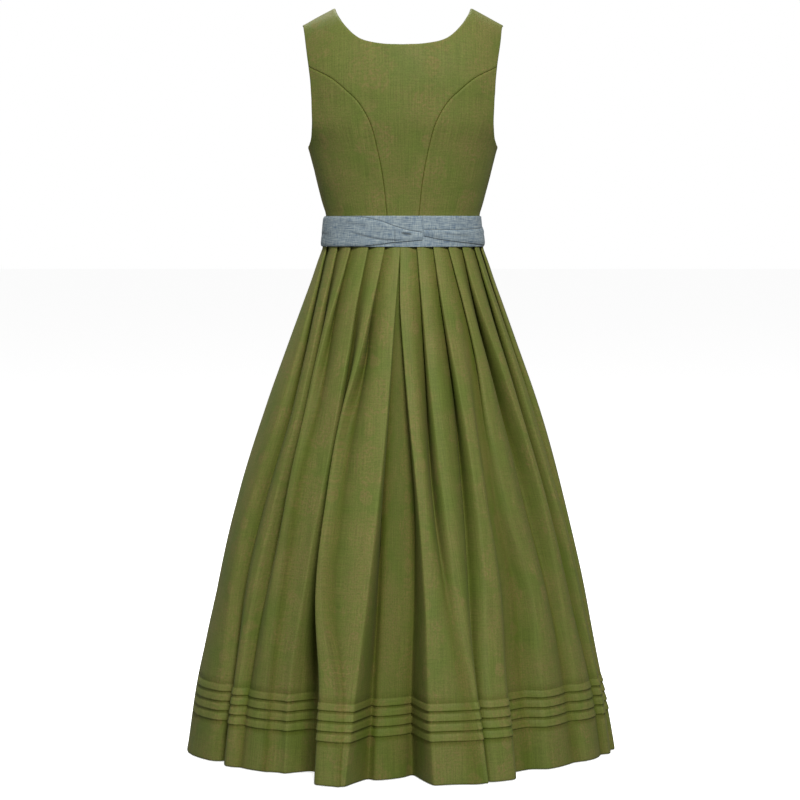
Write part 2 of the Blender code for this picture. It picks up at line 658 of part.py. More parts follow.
def add_knot():
    """A plain flat knot, rounded at its edges."""
    middle = (RIGHT_TIE[-1][1] + RIGHT_TIE[-1][2]) / 2
    out = TIE_LAYER + KNOT_CLEAR + KNOT_THICK / 2
    seat = on_band(KNOT_ANGLE, middle, out)
    round_it = on_band(KNOT_ANGLE + 1, middle, out) - on_band(KNOT_ANGLE - 1, middle, out)
    up_it = on_band(KNOT_ANGLE, BAND_TOP, out) - on_band(KNOT_ANGLE, BAND_BOTTOM, out)
    outward = Vector(np.cross(round_it, up_it)).normalized()
    bpy.ops.mesh.primitive_cube_add(size=1, location=seat,
                                    rotation=outward.to_track_quat("Y", "Z").to_euler())
    knot = bpy.context.object
    knot.name = "tie_knot"
    knot.data.transform(Matrix.Diagonal((KNOT_WIDTH, KNOT_THICK, KNOT_HEIGHT, 1)))
    rounding = knot.modifiers.new("rounding", "BEVEL")
    rounding.width = KNOT_ROUNDING
    rounding.segments = 2
    knot.data.materials.append(material("tie_knot_cloth", BLUE_GREY, CLOTH_ROUGHNESS))
    knot.users_collection[0].objects.unlink(knot)
    pieces.objects.link(knot)


def apron_out(angle, height):
    """How far out from the form the inner side of the apron lies."""
    fall = (WAIST - height) / (WAIST - HEM)
    over_edge = blend(BAND_BOTTOM, APRON_HEIGHTS[0], height)
    over_pleats = APRON_OVER_PLEATS * fall ** SWELL_POWER + APRON_OVER_EDGE * over_edge
    share = (angle - APRON_RIGHT) / (APRON_LEFT - APRON_RIGHT)
    drift = GATHER_DRIFT * math.sin(DRIFT_WAVES * math.pi * share) * fall
    wave = (1 - math.cos(2 * math.pi * (APRON_GATHERS * share + drift))) / 2
    slow = (1 + math.sin(UNEVEN_WAVES * math.pi * share + UNEVEN_START)) / 2
    uneven = GATHER_LEAST + (1 - GATHER_LEAST) * slow
    return APRON_CLEAR + over_pleats + wave * uneven * (GATHER_DEPTH + GATHER_GROWTH * fall)


def add_apron():
    """One width gathered under the waistband, hanging over the front of the skirt."""
    heights = (BAND_BOTTOM - SEAM_GAP, *APRON_HEIGHTS, APRON_HEM)
    angles = np.linspace(APRON_RIGHT, APRON_LEFT, APRON_GATHERS * POINTS_PER_GATHER + 1)
    layers = []
    for cloth in (BAND_CLOTH, 0.0):
        layer = [off_form(np.array(a), np.array(z), apron_out(a, z) + cloth)
                 for a in angles for z in heights]
        layers.append(np.array(layer))
    add_cloth("apron", *layers, grid_faces(len(angles), len(heights)), BLUE_GREY)


def add_tie_ends():
    """The two ends of the ties hang from the knot over the apron."""
    top = (RIGHT_TIE[-1][1] + RIGHT_TIE[-1][2] - KNOT_HEIGHT) / 2 - SEAM_GAP
    heights = np.linspace(top, top - TIE_END_LENGTH, TIE_END_ROWS)
    for side, (start, stop) in zip(("right", "left"), TIE_END_ANGLES):
        layers = []
        for cloth in (BAND_CLOTH, 0.0):
            layer = []
            for share in np.linspace(-0.5, 0.5, TIE_END_COLUMNS):
                for height in heights:
                    down = (top - height) / TIE_END_LENGTH
                    middle = start + (stop - start) * down
                    spread = TIE_END_DRAWN + (1 - TIE_END_DRAWN) * down ** TIE_END_SPREADS
                    width = degrees_for(TIE_END_WIDTH, middle, height) * spread
                    fall = (WAIST - height) / (WAIST - HEM)
                    lifted = min(1, (top - height) / TIE_END_LIFTED_AT)
                    out = TIE_LAYER + SEAM_GAP + TIE_END_LIFT * lifted + TIE_END_OVER_APRON * fall
                    layer.append(off_form(np.array(middle + width * share), np.array(height),
                                          out + cloth))
            layers.append(np.array(layer))
        add_cloth(f"tie_end_{side}", *layers, grid_faces(TIE_END_COLUMNS, len(heights)),
                  BLUE_GREY)


for old in list(bpy.data.objects):
    bpy.data.objects.remove(old, do_unlink=True)
pieces = bpy.data.collections.new(NAME)
bpy.context.scene.collection.children.link(pieces)

add_bodice()
add_buttons()
add_skirt("skirt_back", 0, len(BACK_PLEATS), -90, 90)
add_skirt("skirt_front", len(BACK_PLEATS), len(BACK_PLEATS) + len(FRONT_PLEATS), 90, 270)
add_band()
add_ties()
add_knot()
add_apron()
add_tie_ends()
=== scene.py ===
"""How a worn, sleeveless long dirndl looks: green jacquard, with the linen apron tied over it.

The photographed back faces -Y, +X is the wearer's right, and the origin lies midway between
the tops of the shoulders. Every place on the garment is an angle round the form, 0 at the
centre back and 90 at the right side, with a height and a distance out from the form.
"""

import math

import bpy
import numpy as np
from mathutils import Matrix, Vector, geometry


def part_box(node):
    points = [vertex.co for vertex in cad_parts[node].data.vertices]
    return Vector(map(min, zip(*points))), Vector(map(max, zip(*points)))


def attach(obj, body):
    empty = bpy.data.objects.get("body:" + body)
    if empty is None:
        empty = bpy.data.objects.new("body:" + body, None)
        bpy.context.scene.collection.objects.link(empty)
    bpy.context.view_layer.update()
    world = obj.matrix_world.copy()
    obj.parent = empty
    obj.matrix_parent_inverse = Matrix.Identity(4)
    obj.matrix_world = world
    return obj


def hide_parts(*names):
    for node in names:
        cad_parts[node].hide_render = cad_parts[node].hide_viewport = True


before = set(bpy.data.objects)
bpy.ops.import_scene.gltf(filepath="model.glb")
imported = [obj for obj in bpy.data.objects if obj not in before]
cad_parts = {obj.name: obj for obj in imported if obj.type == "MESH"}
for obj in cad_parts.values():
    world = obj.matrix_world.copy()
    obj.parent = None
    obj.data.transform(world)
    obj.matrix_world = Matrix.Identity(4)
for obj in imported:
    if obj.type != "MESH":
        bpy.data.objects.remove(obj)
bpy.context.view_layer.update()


# The bodice: seven panels of green jacquard, lined with plain cotton and sewn on princess seams.
# It is cut close to the body, so it lies smooth, and only its seams and edges stand in relief.

FORM_COLUMNS = ("height", "half_width", "back_depth", "front_depth", "back_flat", "front_flat")
FORM = np.array([
    (-0.150, 0.186, 0.120, 0.112, -0.03, -0.03),
    (-0.205, 0.180, 0.118, 0.124, -0.03, -0.03),
    (-0.240, 0.1655, 0.112, 0.128, -0.03, -0.03),
    (-0.270, 0.157, 0.107, 0.126, -0.03, -0.03),
    (-0.300, 0.1495, 0.102, 0.119, -0.03, -0.03),
    (-0.330, 0.142, 0.098, 0.111, -0.02, -0.02),
    (-0.360, 0.135, 0.096, 0.106, -0.02, -0.02),
    (-0.386, 0.1373, 0.099, 0.1085, -0.02, -0.02),
    (-0.413, 0.140, 0.103, 0.112, -0.01, -0.01),
    (-0.437, 0.148, 0.113, 0.119, 0.00, 0.00),
    (-0.472, 0.159, 0.130, 0.130, 0.01, 0.00),
    (-0.507, 0.171, 0.146, 0.141, 0.02, 0.01),
    (-0.577, 0.195, 0.170, 0.158, 0.04, 0.02),
    (-0.682, 0.231, 0.200, 0.182, 0.06, 0.03),
    (-0.787, 0.263, 0.226, 0.204, 0.07, 0.04),
    (-0.857, 0.282, 0.242, 0.218, 0.08, 0.04),
    (-0.962, 0.307, 0.262, 0.236, 0.09, 0.05),
    (-1.067, 0.329, 0.281, 0.252, 0.10, 0.05),
    (-1.172, 0.350, 0.299, 0.268, 0.11, 0.06),
    (-1.298, 0.371, 0.318, 0.285, 0.12, 0.06),
])
SHOULDER_BLADES = -0.150
SHOULDER_LINE = ((0.0, 0.030), (0.119, 0.0), (0.1745, -0.030))
LEAN_RADIUS = 0.130
BUST_OUT = 0.018
BUST_SIDE = 0.078
BUST_HEIGHT = -0.262
BUST_SPREAD = 0.038
WAIST = -0.386
BODICE_EDGE = -0.3855
BAND_TOP = -0.360
BAND_HOLLOW = 0.0011
BODICE_CLOTH = 0.0016
SEAM_GAP = 0.00004

# Each point of a cutting line is a distance from the middle and a height.
BACK_NECK = ((0.119, 0.0), (0.111, -0.016), (0.101, -0.0316), (0.0721, -0.0577), (0.036, -0.0665),
             (0.0, -0.0685))
BACK_ARMHOLE = ((0.1745, -0.030), (0.1685, -0.065), (0.1630, -0.1035), (0.1600, -0.130),
                (0.1580, -0.165), (0.1572, -0.205), (0.1588, -0.224), (0.1625, -0.236),
                (0.1655, -0.240))
BACK_SEAM = ((0.1630, -0.1035), (0.1125, -0.133), (0.0793, -0.1635), (0.0582, -0.1975),
             (0.0440, -0.246), (0.0333, -0.3025), (0.0275, -0.360), (0.0262, BODICE_EDGE))
FRONT_NECK = ((0.119, 0.0), (0.113, -0.040), (0.104, -0.085), (0.085, -0.130), (0.050, -0.158),
              (0.010, -0.167), (0.0, -0.168))
FRONT_ARMHOLE = ((0.1745, -0.030), (0.1655, -0.065), (0.1545, -0.115), (0.1500, -0.150),
                 (0.1500, -0.195), (0.1540, -0.222), (0.1605, -0.236), (0.1655, -0.240))
FRONT_SEAM = ((0.1545, -0.115), (0.1130, -0.165), (0.0860, -0.215), (0.0780, -0.262),
              (0.0660, -0.320), (0.0560, -0.360), (0.0530, BODICE_EDGE))
CLOSING_SIDE = -0.010
UNDERARM = -0.240
ACROSS_SCALE = math.radians(1) * 0.150
PANEL_STEP = 0.0065
EDGE_STEP = 0.0055
SEAM_ROWS = (0.0012, 0.0028, 0.0048)
SEAM_SINK = 0.0007
SEAM_RIDGE = 0.0004


def read(table, columns, name, at):
    """The value of one column of a table, on a smooth curve through its rows."""
    places, values = -table[:, 0], table[:, columns.index(name)]
    slopes = np.gradient(values, places)
    at = np.clip(-np.asarray(at, float), places[0], places[-1])
    row = np.clip(np.searchsorted(places, at, side="right") - 1, 0, len(places) - 2)
    width = places[row + 1] - places[row]
    u = (at - places[row]) / width
    start = values[row] * (1 + 2 * u) * (1 - u) ** 2 + slopes[row] * width * u * (1 - u) ** 2
    end = values[row + 1] * u ** 2 * (3 - 2 * u) - slopes[row + 1] * width * u ** 2 * (1 - u)
    return start + end


def shoulder_height(x):
    """How high the line of the shoulders is at a distance from the middle."""
    return np.interp(np.abs(x), *np.array(SHOULDER_LINE).T)


def on_form(angle, height, lean=0.0):
    """A point on the form. Lean is the angle that the shoulders have rounded over by."""
    angle, height, lean = np.broadcast_arrays(np.radians(angle), height, np.radians(lean))
    back = np.cos(angle) > 0
    depth = np.where(back, read(FORM, FORM_COLUMNS, "back_depth", height),
                     read(FORM, FORM_COLUMNS, "front_depth", height))
    flat = np.where(back, read(FORM, FORM_COLUMNS, "back_flat", height),
                    read(FORM, FORM_COLUMNS, "front_flat", height))
    cut = 1 - flat * np.sin(2 * angle) ** 2
    x = read(FORM, FORM_COLUMNS, "half_width", height) * np.sin(angle) * cut
    y = -depth * np.cos(angle) * cut * np.cos(lean)
    z = np.where(lean != 0, height + (shoulder_height(x) - height) * np.sin(lean), height)
    from_bust = ((np.abs(x) - BUST_SIDE) ** 2 + (z - BUST_HEIGHT) ** 2) / (2 * BUST_SPREAD ** 2)
    y = y + np.where(back, 0, -BUST_OUT * np.cos(angle) * np.exp(-from_bust))
    return np.stack([x, y, z], axis=-1)


def cloth_point(across, up, out=0.0):
    """A point of the bodice from its place on the flat cut: degrees round and metres up."""
    def surface(p, q):
        lean = np.degrees(np.maximum(q - SHOULDER_BLADES, 0) / LEAN_RADIUS)
        return on_form(p, np.minimum(q, SHOULDER_BLADES), lean)
    small_turn, small_rise = 0.2, 0.0005
    round_it = surface(across + small_turn, up) - surface(across - small_turn, up)
    up_it = surface(across, up + small_rise) - surface(across, up - small_rise)
    normal = np.cross(round_it, up_it)
    normal /= np.linalg.norm(normal, axis=-1, keepdims=True)
    return surface(across, up) + np.asarray(out)[..., None] * normal


def blend(low, high, at):
    """0 at low, 1 at high and smooth between."""
    u = np.clip((np.asarray(at, float) - low) / (high - low), 0, 1)
    return u * u * (3 - 2 * u)


def on_cut(points, front):
    """Places on the flat cut, in degrees and metres, of points given by side and height."""
    turns = np.linspace(0, 90, 901)
    places = []
    for side, height in points:
        row = min(height, SHOULDER_BLADES)
        widths = on_form(180 - turns if front else turns, row)[:, 0]
        turn = np.interp(abs(side), widths, turns)
        rise = max(height - row, 0) / (shoulder_height(side) - SHOULDER_BLADES)
        up = row + math.asin(min(rise, 1)) * LEAN_RADIUS
        turn = math.copysign(turn, side)
        places.append((180 - turn if front else turn, up))
    return places


def mirrored(points):
    """The same line on the wearer's other side."""
    return [(-side, height) for side, height in points]


def spaced(places, step):
    """The same line with points about a step apart, on a smooth curve through its places."""
    line = np.array(places, float)
    runs = np.hypot(np.diff(line[:, 0]) * ACROSS_SCALE, np.diff(line[:, 1]))
    along = np.concatenate([[0], np.cumsum(runs)])
    at = np.linspace(0, along[-1], max(2, math.ceil(along[-1] / step) + 1))
    if len(line) == 2:
        return [tuple(line[0] + (line[1] - line[0]) * s / along[-1]) for s in at]
    table = np.column_stack([-along, line])
    return list(zip(read(table, ("along", "across", "up"), "across", -at),
                    read(table, ("along", "across", "up"), "up", -at)))


def joined(*lines):
    """One closed outline, in metres on the flat cut, from lines that run on from each other."""
    outline = []
    for line in lines:
        outline += spaced(line, EDGE_STEP)[:-1]
    return np.array(outline) * (ACROSS_SCALE, 1)


def inset(outline, by):
    """The outline moved in by a distance. It runs anticlockwise."""
    before = outline - np.roll(outline, 1, axis=0)
    before /= np.linalg.norm(before, axis=1, keepdims=True)
    after = np.roll(before, -1, axis=0)
    inward = np.column_stack([-before[:, 1] - after[:, 1], before[:, 0] + after[:, 0]])
    inward /= np.linalg.norm(inward, axis=1, keepdims=True)
    straight_in = np.column_stack([-before[:, 1], before[:, 0]])
    stretch = np.maximum((inward * straight_in).sum(axis=1), 0.35)
    return outline + inward * by / stretch[:, None]


def edge_distance(points, outline):
    """How far each point lies inside the outline. It is negative outside."""
    a, b = outline, np.roll(outline, -1, axis=0)
    run = b - a
    gap = points[:, None] - a[None]
    along = np.clip((gap * run).sum(axis=2) / (run ** 2).sum(axis=1), 0, 1)
    distance = np.linalg.norm(gap - along[..., None] * run, axis=2).min(axis=1)
    above = (a[:, 1] > points[:, None, 1]) != (b[:, 1] > points[:, None, 1])
    level = np.where(np.abs(run[:, 1]) < 1e-12, 1e-12, run[:, 1])
    crossing = a[:, 0] + run[:, 0] * (points[:, None, 1] - a[:, 1]) / level
    odd = (above & (points[:, None, 0] < crossing)).sum(axis=1) % 2
    return np.where(odd == 1, distance, -distance)


def cut_panel(outline):
    """The flat cut filled with triangles, finer beside its edge: its places and its faces."""
    edge = inset(outline, SEAM_GAP / 2)
    points = [edge]
    for row in SEAM_ROWS:
        ring = inset(outline, row)
        points.append(ring[edge_distance(ring, edge) > row * 0.8])
    low, high = edge.min(axis=0), edge.max(axis=0)
    columns, rows = np.ceil((high - low) / PANEL_STEP).astype(int)
    column, row = np.meshgrid(np.arange(columns), np.arange(rows))
    grid = np.column_stack([(column + 0.5 * (row % 2)).ravel(), (row + 0.5).ravel()])
    grid = low + grid * PANEL_STEP
    points.append(grid[edge_distance(grid, edge) > SEAM_ROWS[-1] + PANEL_STEP / 2])
    places = [Vector(p) for p in np.concatenate(points)]
    ring = [(i, (i + 1) % len(edge)) for i in range(len(edge))]
    filled = geometry.delaunay_2d_cdt(places, ring, [], 1, 1e-7)
    return np.array([tuple(p) for p in filled[0]]), [tuple(face) for face in filled[2]]


def paint(hex_code):
    """The linear colour of an sRGB hex value."""
    levels = [int(hex_code[i:i + 2], 16) / 255 for i in (1, 3, 5)]
    return (*(v / 12.92 if v <= 0.04045 else ((v + 0.055) / 1.055) ** 2.4 for v in levels), 1.0)


def plug(tree, node, sockets):
    """Gives sockets of a node a value, or a link from a socket or from another node."""
    for place, value in sockets.items():
        if isinstance(value, bpy.types.Node):
            value = value.outputs[0]
        if isinstance(value, bpy.types.NodeSocket):
            tree.links.new(value, node.inputs[place])
        else:
            node.inputs[place].default_value = value


def add_node(tree, kind, sockets=None, **settings):
    """A new node with its settings and with what its sockets take."""
    made = tree.nodes.new("ShaderNode" + kind)
    for name, value in settings.items():
        setattr(made, name, value)
    plug(tree, made, sockets or {})
    return made


def reckon(tree, operation, *values, kind="Math"):
    """A sum of numbers, or of vectors where kind is VectorMath."""
    return add_node(tree, kind, dict(enumerate(values)), operation=operation)


def spread(tree, value, low, high, to_low=0, to_high=1, **settings):
    """The value brought from one range to another, and kept within it."""
    return add_node(tree, "MapRange", {"Value": value, "From Min": low, "From Max": high,
                                       "To Min": to_low, "To Max": to_high}, **settings)


def add_noise(tree, place, scale, detail, **others):
    """Noise with so many lumps to the metre, or with so many each way where scale is a row."""
    if isinstance(scale, tuple):
        place, scale = reckon(tree, "MULTIPLY", place, scale, kind="VectorMath"), 1
    return add_node(tree, "TexNoise", {"Vector": place, "Scale": scale, "Detail": detail, **others})


def mix_paints(tree, share, low, high):
    """A colour between two hex values."""
    return add_node(tree, "MixRGB", {"Fac": share, "Color1": paint(low), "Color2": paint(high)})


def weave(tree, cut, pitch, wander):
    """The over and under of warp and weft threads a pitch apart."""
    scale = math.tau / 20 / pitch
    threads = [add_node(tree, "TexWave", {"Vector": cut, "Scale": scale, "Distortion": wander},
                        bands_direction=way).outputs["Fac"] for way in "XY"]
    return reckon(tree, "MULTIPLY", *threads)


def in_folds(tree, tone, light, highlight_gain, darkest, richer):
    """The tone with painted light: a painted highlight, paler, on fold and seam edges, and painted
    shade, darker and more saturated, in folds, creases and seams.
    """
    hollow, pressed = (add_node(tree, "Attribute", attribute_name=mark).outputs["Fac"]
                       for mark in ("hollow", "pressed"))
    light = reckon(tree, "MULTIPLY_ADD", pressed, highlight_gain, light)
    light = reckon(tree, "MULTIPLY", light, spread(tree, hollow, 0, 1, 1, darkest))
    saturation = reckon(tree, "MULTIPLY_ADD", hollow, richer, 1)
    return add_node(tree, "HueSaturation",
                    {"Saturation": saturation, "Value": light, "Color": tone})


def new_material(name):
    """A material and its node tree."""
    made = bpy.data.materials.new(name)
    made.use_nodes = True
    return made, made.node_tree


def set_shader(tree, colour, relief, strength, depth, sockets):
    """Gives the shader its colour, a relief so many metres deep, and its other sockets."""
    bump = add_node(tree, "Bump", {"Height": relief, "Strength": strength, "Distance": depth})
    plug(tree, tree.nodes["Principled BSDF"], {"Base Color": colour, "Normal": bump, **sockets})


# Jacquard of silk and cotton. A green warp and an olive-brown weft change places where the figure
# is woven, so rosettes of fine scrolls show as a change of tone, with cloudy wear, fine slubs down
# the warp and a dull face. The repeat is 88 by 116 mm with a half drop. Threads are 0.3 mm, drawn
# here 1.4 mm apart.
REPEAT = (0.088, 0.116)
ROSETTE_RADIUS = 0.034
SPRIG_RADIUS = 0.015
SCROLL_PITCH = 0.0095
PETALS = 7
PETAL_OUT = 0.004
WANDER = 0.016
THREAD_PITCH = 0.0014

jacquard, tree = new_material("green_jacquard_silk_cotton")
cut = add_node(tree, "UVMap", uv_map="cut")
repeats = reckon(tree, "MULTIPLY", cut, (1 / REPEAT[0], 1 / REPEAT[1], 0), kind="VectorMath")
column, row = add_node(tree, "SeparateXYZ", {0: repeats}).outputs[:2]
dropped = reckon(tree, "MULTIPLY_ADD", reckon(tree, "FLOOR", column), 0.5, row)
cell = add_node(tree, "CombineXYZ", {0: column, 1: dropped})
cell = reckon(tree, "FRACTION", cell, kind="VectorMath")
cell = reckon(tree, "MULTIPLY_ADD", cell, (*REPEAT, 0), (-REPEAT[0] / 2, -REPEAT[1] / 2, 0),
              kind="VectorMath")
wander = reckon(tree, "MULTIPLY_ADD", add_noise(tree, cut, 45, 2).outputs["Color"],
                (WANDER, WANDER, 0), (-WANDER / 2, -WANDER / 2, 0), kind="VectorMath")
cell = reckon(tree, "ADD", cell, wander, kind="VectorMath")
beside, above = add_node(tree, "SeparateXYZ", {0: cell}).outputs[:2]
turn = reckon(tree, "MULTIPLY", reckon(tree, "ARCTAN2", above, beside), PETALS)
petals = reckon(tree, "COSINE", turn)
spot = add_node(tree, "CombineXYZ", {0: beside, 1: reckon(tree, "MULTIPLY", above, 0.82)})
radius = reckon(tree, "LENGTH", spot, kind="VectorMath").outputs["Value"]
lobed = reckon(tree, "MULTIPLY_ADD", petals, -PETAL_OUT, radius)
rosette = spread(tree, lobed, ROSETTE_RADIUS * 1.15, ROSETTE_RADIUS * 0.75,
                 interpolation_type="SMOOTHSTEP")
scroll = reckon(tree, "MULTIPLY", radius, math.tau / SCROLL_PITCH)
scroll = reckon(tree, "SINE", reckon(tree, "MULTIPLY_ADD", petals, 2.1, scroll))
rosette = reckon(tree, "MULTIPLY", rosette, spread(tree, scroll, -0.5, 0.5, 0.55))
between = reckon(tree, "SUBTRACT", reckon(tree, "ABSOLUTE", above), REPEAT[1] / 2)
sprig = add_node(tree, "CombineXYZ", {0: beside, 1: between})
sprig = reckon(tree, "LENGTH", sprig, kind="VectorMath").outputs["Value"]
sprig = reckon(tree, "MULTIPLY_ADD", petals, -PETAL_OUT, sprig)
sprig = spread(tree, sprig, SPRIG_RADIUS, SPRIG_RADIUS * 0.6, interpolation_type="SMOOTHSTEP")
worn = spread(tree, add_noise(tree, cut, 26, 5), 0.30, 0.62, 0.25)
figure = reckon(tree, "MULTIPLY", reckon(tree, "MAXIMUM", rosette, sprig), worn)
filigree = spread(tree, add_noise(tree, cut, 260, 1), 0.34, 0.60, 0.35)
cloud = spread(tree, add_noise(tree, cut, 11, 6, Roughness=0.62), 0.38, 0.66, 0, 0.80)
brown = reckon(tree, "MULTIPLY", reckon(tree, "MAXIMUM", figure, cloud), filigree)
tone = mix_paints(tree, brown, "#5D682D", "#746B3D")
yarn = reckon(tree, "MULTIPLY_ADD", add_noise(tree, cut, (40, 480, 0), 2), 0.6,
              add_noise(tree, cut, (520, 16, 0), 3))
yarn = reckon(tree, "MULTIPLY_ADD", add_noise(tree, cut, 420, 2), 0.8, yarn)
light = spread(tree, yarn, 0.85, 1.55, 0.80, 1.20)
relief = reckon(tree, "MULTIPLY_ADD", figure, 0.5, weave(tree, cut, THREAD_PITCH, 0.6))
relief = reckon(tree, "MULTIPLY_ADD", yarn, 1.5, relief)
# Painted highlight on fold and seam edges, and painted shade, darker and richer, in folds and seams.
set_shader(tree, in_folds(tree, tone, light, 0.14, 0.42, 0.2), relief, 0.35, 0.0003, {
    "Roughness": spread(tree, figure, 0, 1, 0.62, 0.74), "IOR": 1.47, "Specular IOR Level": 0.15,
    "Sheen Weight": 0.05, "Sheen Roughness": 0.5, "Sheen Tint": paint("#B9BC8C")})

# Plain cotton lining, woven close and dyed to go with the jacquard. It is flat and dull.
lining, tree = new_material("olive_cotton_lining")
thread = add_noise(tree, add_node(tree, "UVMap", uv_map="cut"), 700, 2)
set_shader(tree, mix_paints(tree, thread, "#57593A", "#6E6F4C"), thread, 0.2, 0.0002, {
    "IOR": 1.5, "Roughness": 0.9})


def rim_of(faces):
    """The edges that only one face uses, in that face's direction."""
    directed = {(f[i - 1], f[i]) for f in faces for i in range(len(f))}
    return [(a, b) for a, b in directed if (b, a) not in directed]


def cloth_mesh(name, points, faces, places, finishes, marks):
    """A smooth mesh of cloth with a place on the flat cloth for each point. A mark is a number
    for each point that the finish reads."""
    mesh = bpy.data.meshes.new(name + "_visual")
    mesh.from_pydata(points.tolist(), [], faces)
    for finish in finishes:
        mesh.materials.append(finish)
    mesh.polygons.foreach_set("use_smooth", np.ones(len(mesh.polygons), bool))
    corners = np.zeros(len(mesh.loops), int)
    mesh.loops.foreach_get("vertex_index", corners)
    mesh.uv_layers.new(name="cut").data.foreach_set("uv", places[corners].ravel())
    for mark, values in marks.items():
        mesh.attributes.new(mark, "FLOAT", "POINT").data.foreach_set("value", values)
    return mesh


def add_object(name, data):
    """A new object in the scene."""
    made = bpy.data.objects.new(name, data)
    bpy.context.scene.collection.objects.link(made)
    return made


def dress(node, mesh):
    """A piece of the garment that stands in the place of the CAD node of that name."""
    piece = add_object(node + "_visual", mesh)
    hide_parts(node)
    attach(piece, "root")
    return piece


def sew(name, outer, inner, faces, cut, finishes, slot, **marks):
    """A closed wall of cloth between two layers of points that share their faces. Cut is each
    point's place on the flat cloth. Finishes are the outside's and the inside's."""
    count = len(outer)
    walls = [(b, a, a + count, b + count) for a, b in rim_of(faces)]
    inside = [tuple(i + count for i in reversed(face)) for face in faces]
    doubled = {mark: np.concatenate([values, values]) for mark, values in marks.items()}
    mesh = cloth_mesh(name, np.concatenate([outer, inner]), list(faces) + inside + walls,
                      np.concatenate([cut, cut]), finishes, doubled)
    backs = np.zeros(len(mesh.polygons), int)
    backs[len(faces):len(faces) + len(inside)] = len(finishes) - 1
    mesh.polygons.foreach_set("material_index", backs)
    mesh.update()
    return dress(name, mesh)


def creased(places, creases):
    """How far soft creases raise the cloth at places on the cut, in metres. A crease is a line of
    points with its width and its height, and it dies out at both ends."""
    out = np.zeros(len(places))
    for *line, width, height in creases:
        line = np.array(line)
        runs = np.linalg.norm(np.diff(line, axis=0), axis=1)
        nearest = np.full(len(places), np.inf)
        share = np.zeros(len(places))
        done = 0.0
        for a, b, run in zip(line[:-1], line[1:], runs):
            gap = places - a
            along = np.clip(gap @ (b - a) / run ** 2, 0, 1)
            distance = np.linalg.norm(gap - along[:, None] * (b - a), axis=1)
            closer = distance < nearest
            nearest = np.where(closer, distance, nearest)
            share = np.where(closer, (done + along * run) / runs.sum(), share)
            done += run
        ends = blend(0, 0.3, share) * blend(1, 0.7, share)
        out += height * ends * np.exp(-(nearest / width) ** 2)
    return out


def bodice_panel(name, outline):
    """A panel of the bodice. Its edges turn down into the seams, and it is drawn in a little
    where the band presses on it."""
    cut, faces = cut_panel(outline)
    across, up = cut[:, 0] / ACROSS_SCALE, cut[:, 1]
    from_edge = edge_distance(cut, outline)
    seam = (SEAM_RIDGE * blend(0.0006, 0.0026, from_edge) * blend(0.009, 0.003, from_edge)
            - SEAM_SINK * blend(0.0016, 0.0, from_edge))
    drawn_in = BAND_HOLLOW * blend(BAND_TOP + 0.016, BAND_TOP + 0.003, up)
    ease = 0.0005 * np.sin(47 * cut[:, 0] + 29 * up) * np.sin(31 * up - 17 * cut[:, 0] + 0.8)
    outer = cloth_point(across, up, seam + ease - drawn_in)
    inner = cloth_point(across, up, ease - drawn_in - BODICE_CLOTH)
    # Painted highlight within 4 mm of the panel's edges, and painted shade in the seam right at the
    # edge.
    panel = sew(name, outer, inner, faces, cut, (jacquard, lining), "green_jacquard",
                pressed=0.5 * blend(0.004, 0.0, from_edge),
                hollow=0.75 * blend(0.0009, 0.0, from_edge))


neck, armhole, seam = (on_cut(line, False) for line in (BACK_NECK, BACK_ARMHOLE, BACK_SEAM))
left_neck, left_armhole, left_seam = (
    on_cut(mirrored(line), False) for line in (BACK_NECK, BACK_ARMHOLE, BACK_SEAM))
yoke_end = BACK_ARMHOLE.index(BACK_SEAM[0])
underarm, side_waist = (90, UNDERARM), (90, BODICE_EDGE)
bodice_panel("bodice_back_centre", joined(
    [left_seam[-1], seam[-1]], seam[::-1], armhole[:yoke_end + 1][::-1],
    [armhole[0], neck[0]], neck, left_neck[::-1], [left_neck[0], left_armhole[0]],
    left_armhole[:yoke_end + 1], left_seam))
bodice_panel("bodice_back_side_right", joined(
    [seam[-1], side_waist], [side_waist, underarm], armhole[yoke_end:][::-1], seam))
bodice_panel("bodice_back_side_left", joined(
    left_seam[::-1], left_armhole[yoke_end:], [(-90, UNDERARM), (-90, BODICE_EDGE)],
    [(-90, BODICE_EDGE), left_seam[-1]]))

neck, armhole, seam = (on_cut(line, True) for line in (FRONT_NECK, FRONT_ARMHOLE, FRONT_SEAM))
yoke_end = FRONT_ARMHOLE.index(FRONT_SEAM[0])
closing = on_cut([(CLOSING_SIDE, BODICE_EDGE), (CLOSING_SIDE, FRONT_NECK[-2][1])], True)
bodice_panel("bodice_front_centre_right", joined(
    [seam[-1], closing[0]], closing, [closing[1], neck[-1]], neck[::-1], [neck[0], armhole[0]],
    armhole[:yoke_end + 1], seam))
bodice_panel("bodice_front_side_right", joined(
    [side_waist, seam[-1]], seam[::-1], armhole[yoke_end:], [underarm, side_waist]))
neck, armhole, seam = ([(360 - across, up) for across, up in line]
                       for line in (neck[:-1], armhole, seam))
bodice_panel("bodice_front_centre_left", joined(
    [closing[0], seam[-1]], seam[::-1], armhole[:yoke_end + 1][::-1], [armhole[0], neck[0]],
    neck, closing[::-1]))
bodice_panel("bodice_front_side_left", joined(
    [seam[-1], (270, BODICE_EDGE)], [(270, BODICE_EDGE), (270, UNDERARM)],
    armhole[yoke_end:][::-1], seam))


# The six buttons: discs of turned horn with a rolled rim and four holes, sewn on with thread.
# They close the centre front, and each is turned to face straight out from the cloth under it.

BUTTON_THICK = 0.003
HOLE_RADIUS = 0.00065
HOLE_OUT = 0.0015
# A turned profile from the middle of the face to the middle of the back: radius and height.
BUTTON_PROFILE = ((0.0, 0.0008), (0.0030, 0.0008), (0.0038, 0.0011), (0.0044, 0.0015),
                  (0.0052, 0.0015), (0.0057, 0.0011), (0.0060, 0.0003), (0.0058, -0.0006),
                  (0.0048, -0.0013), (0.0030, -0.0015), (0.0, -0.0015))

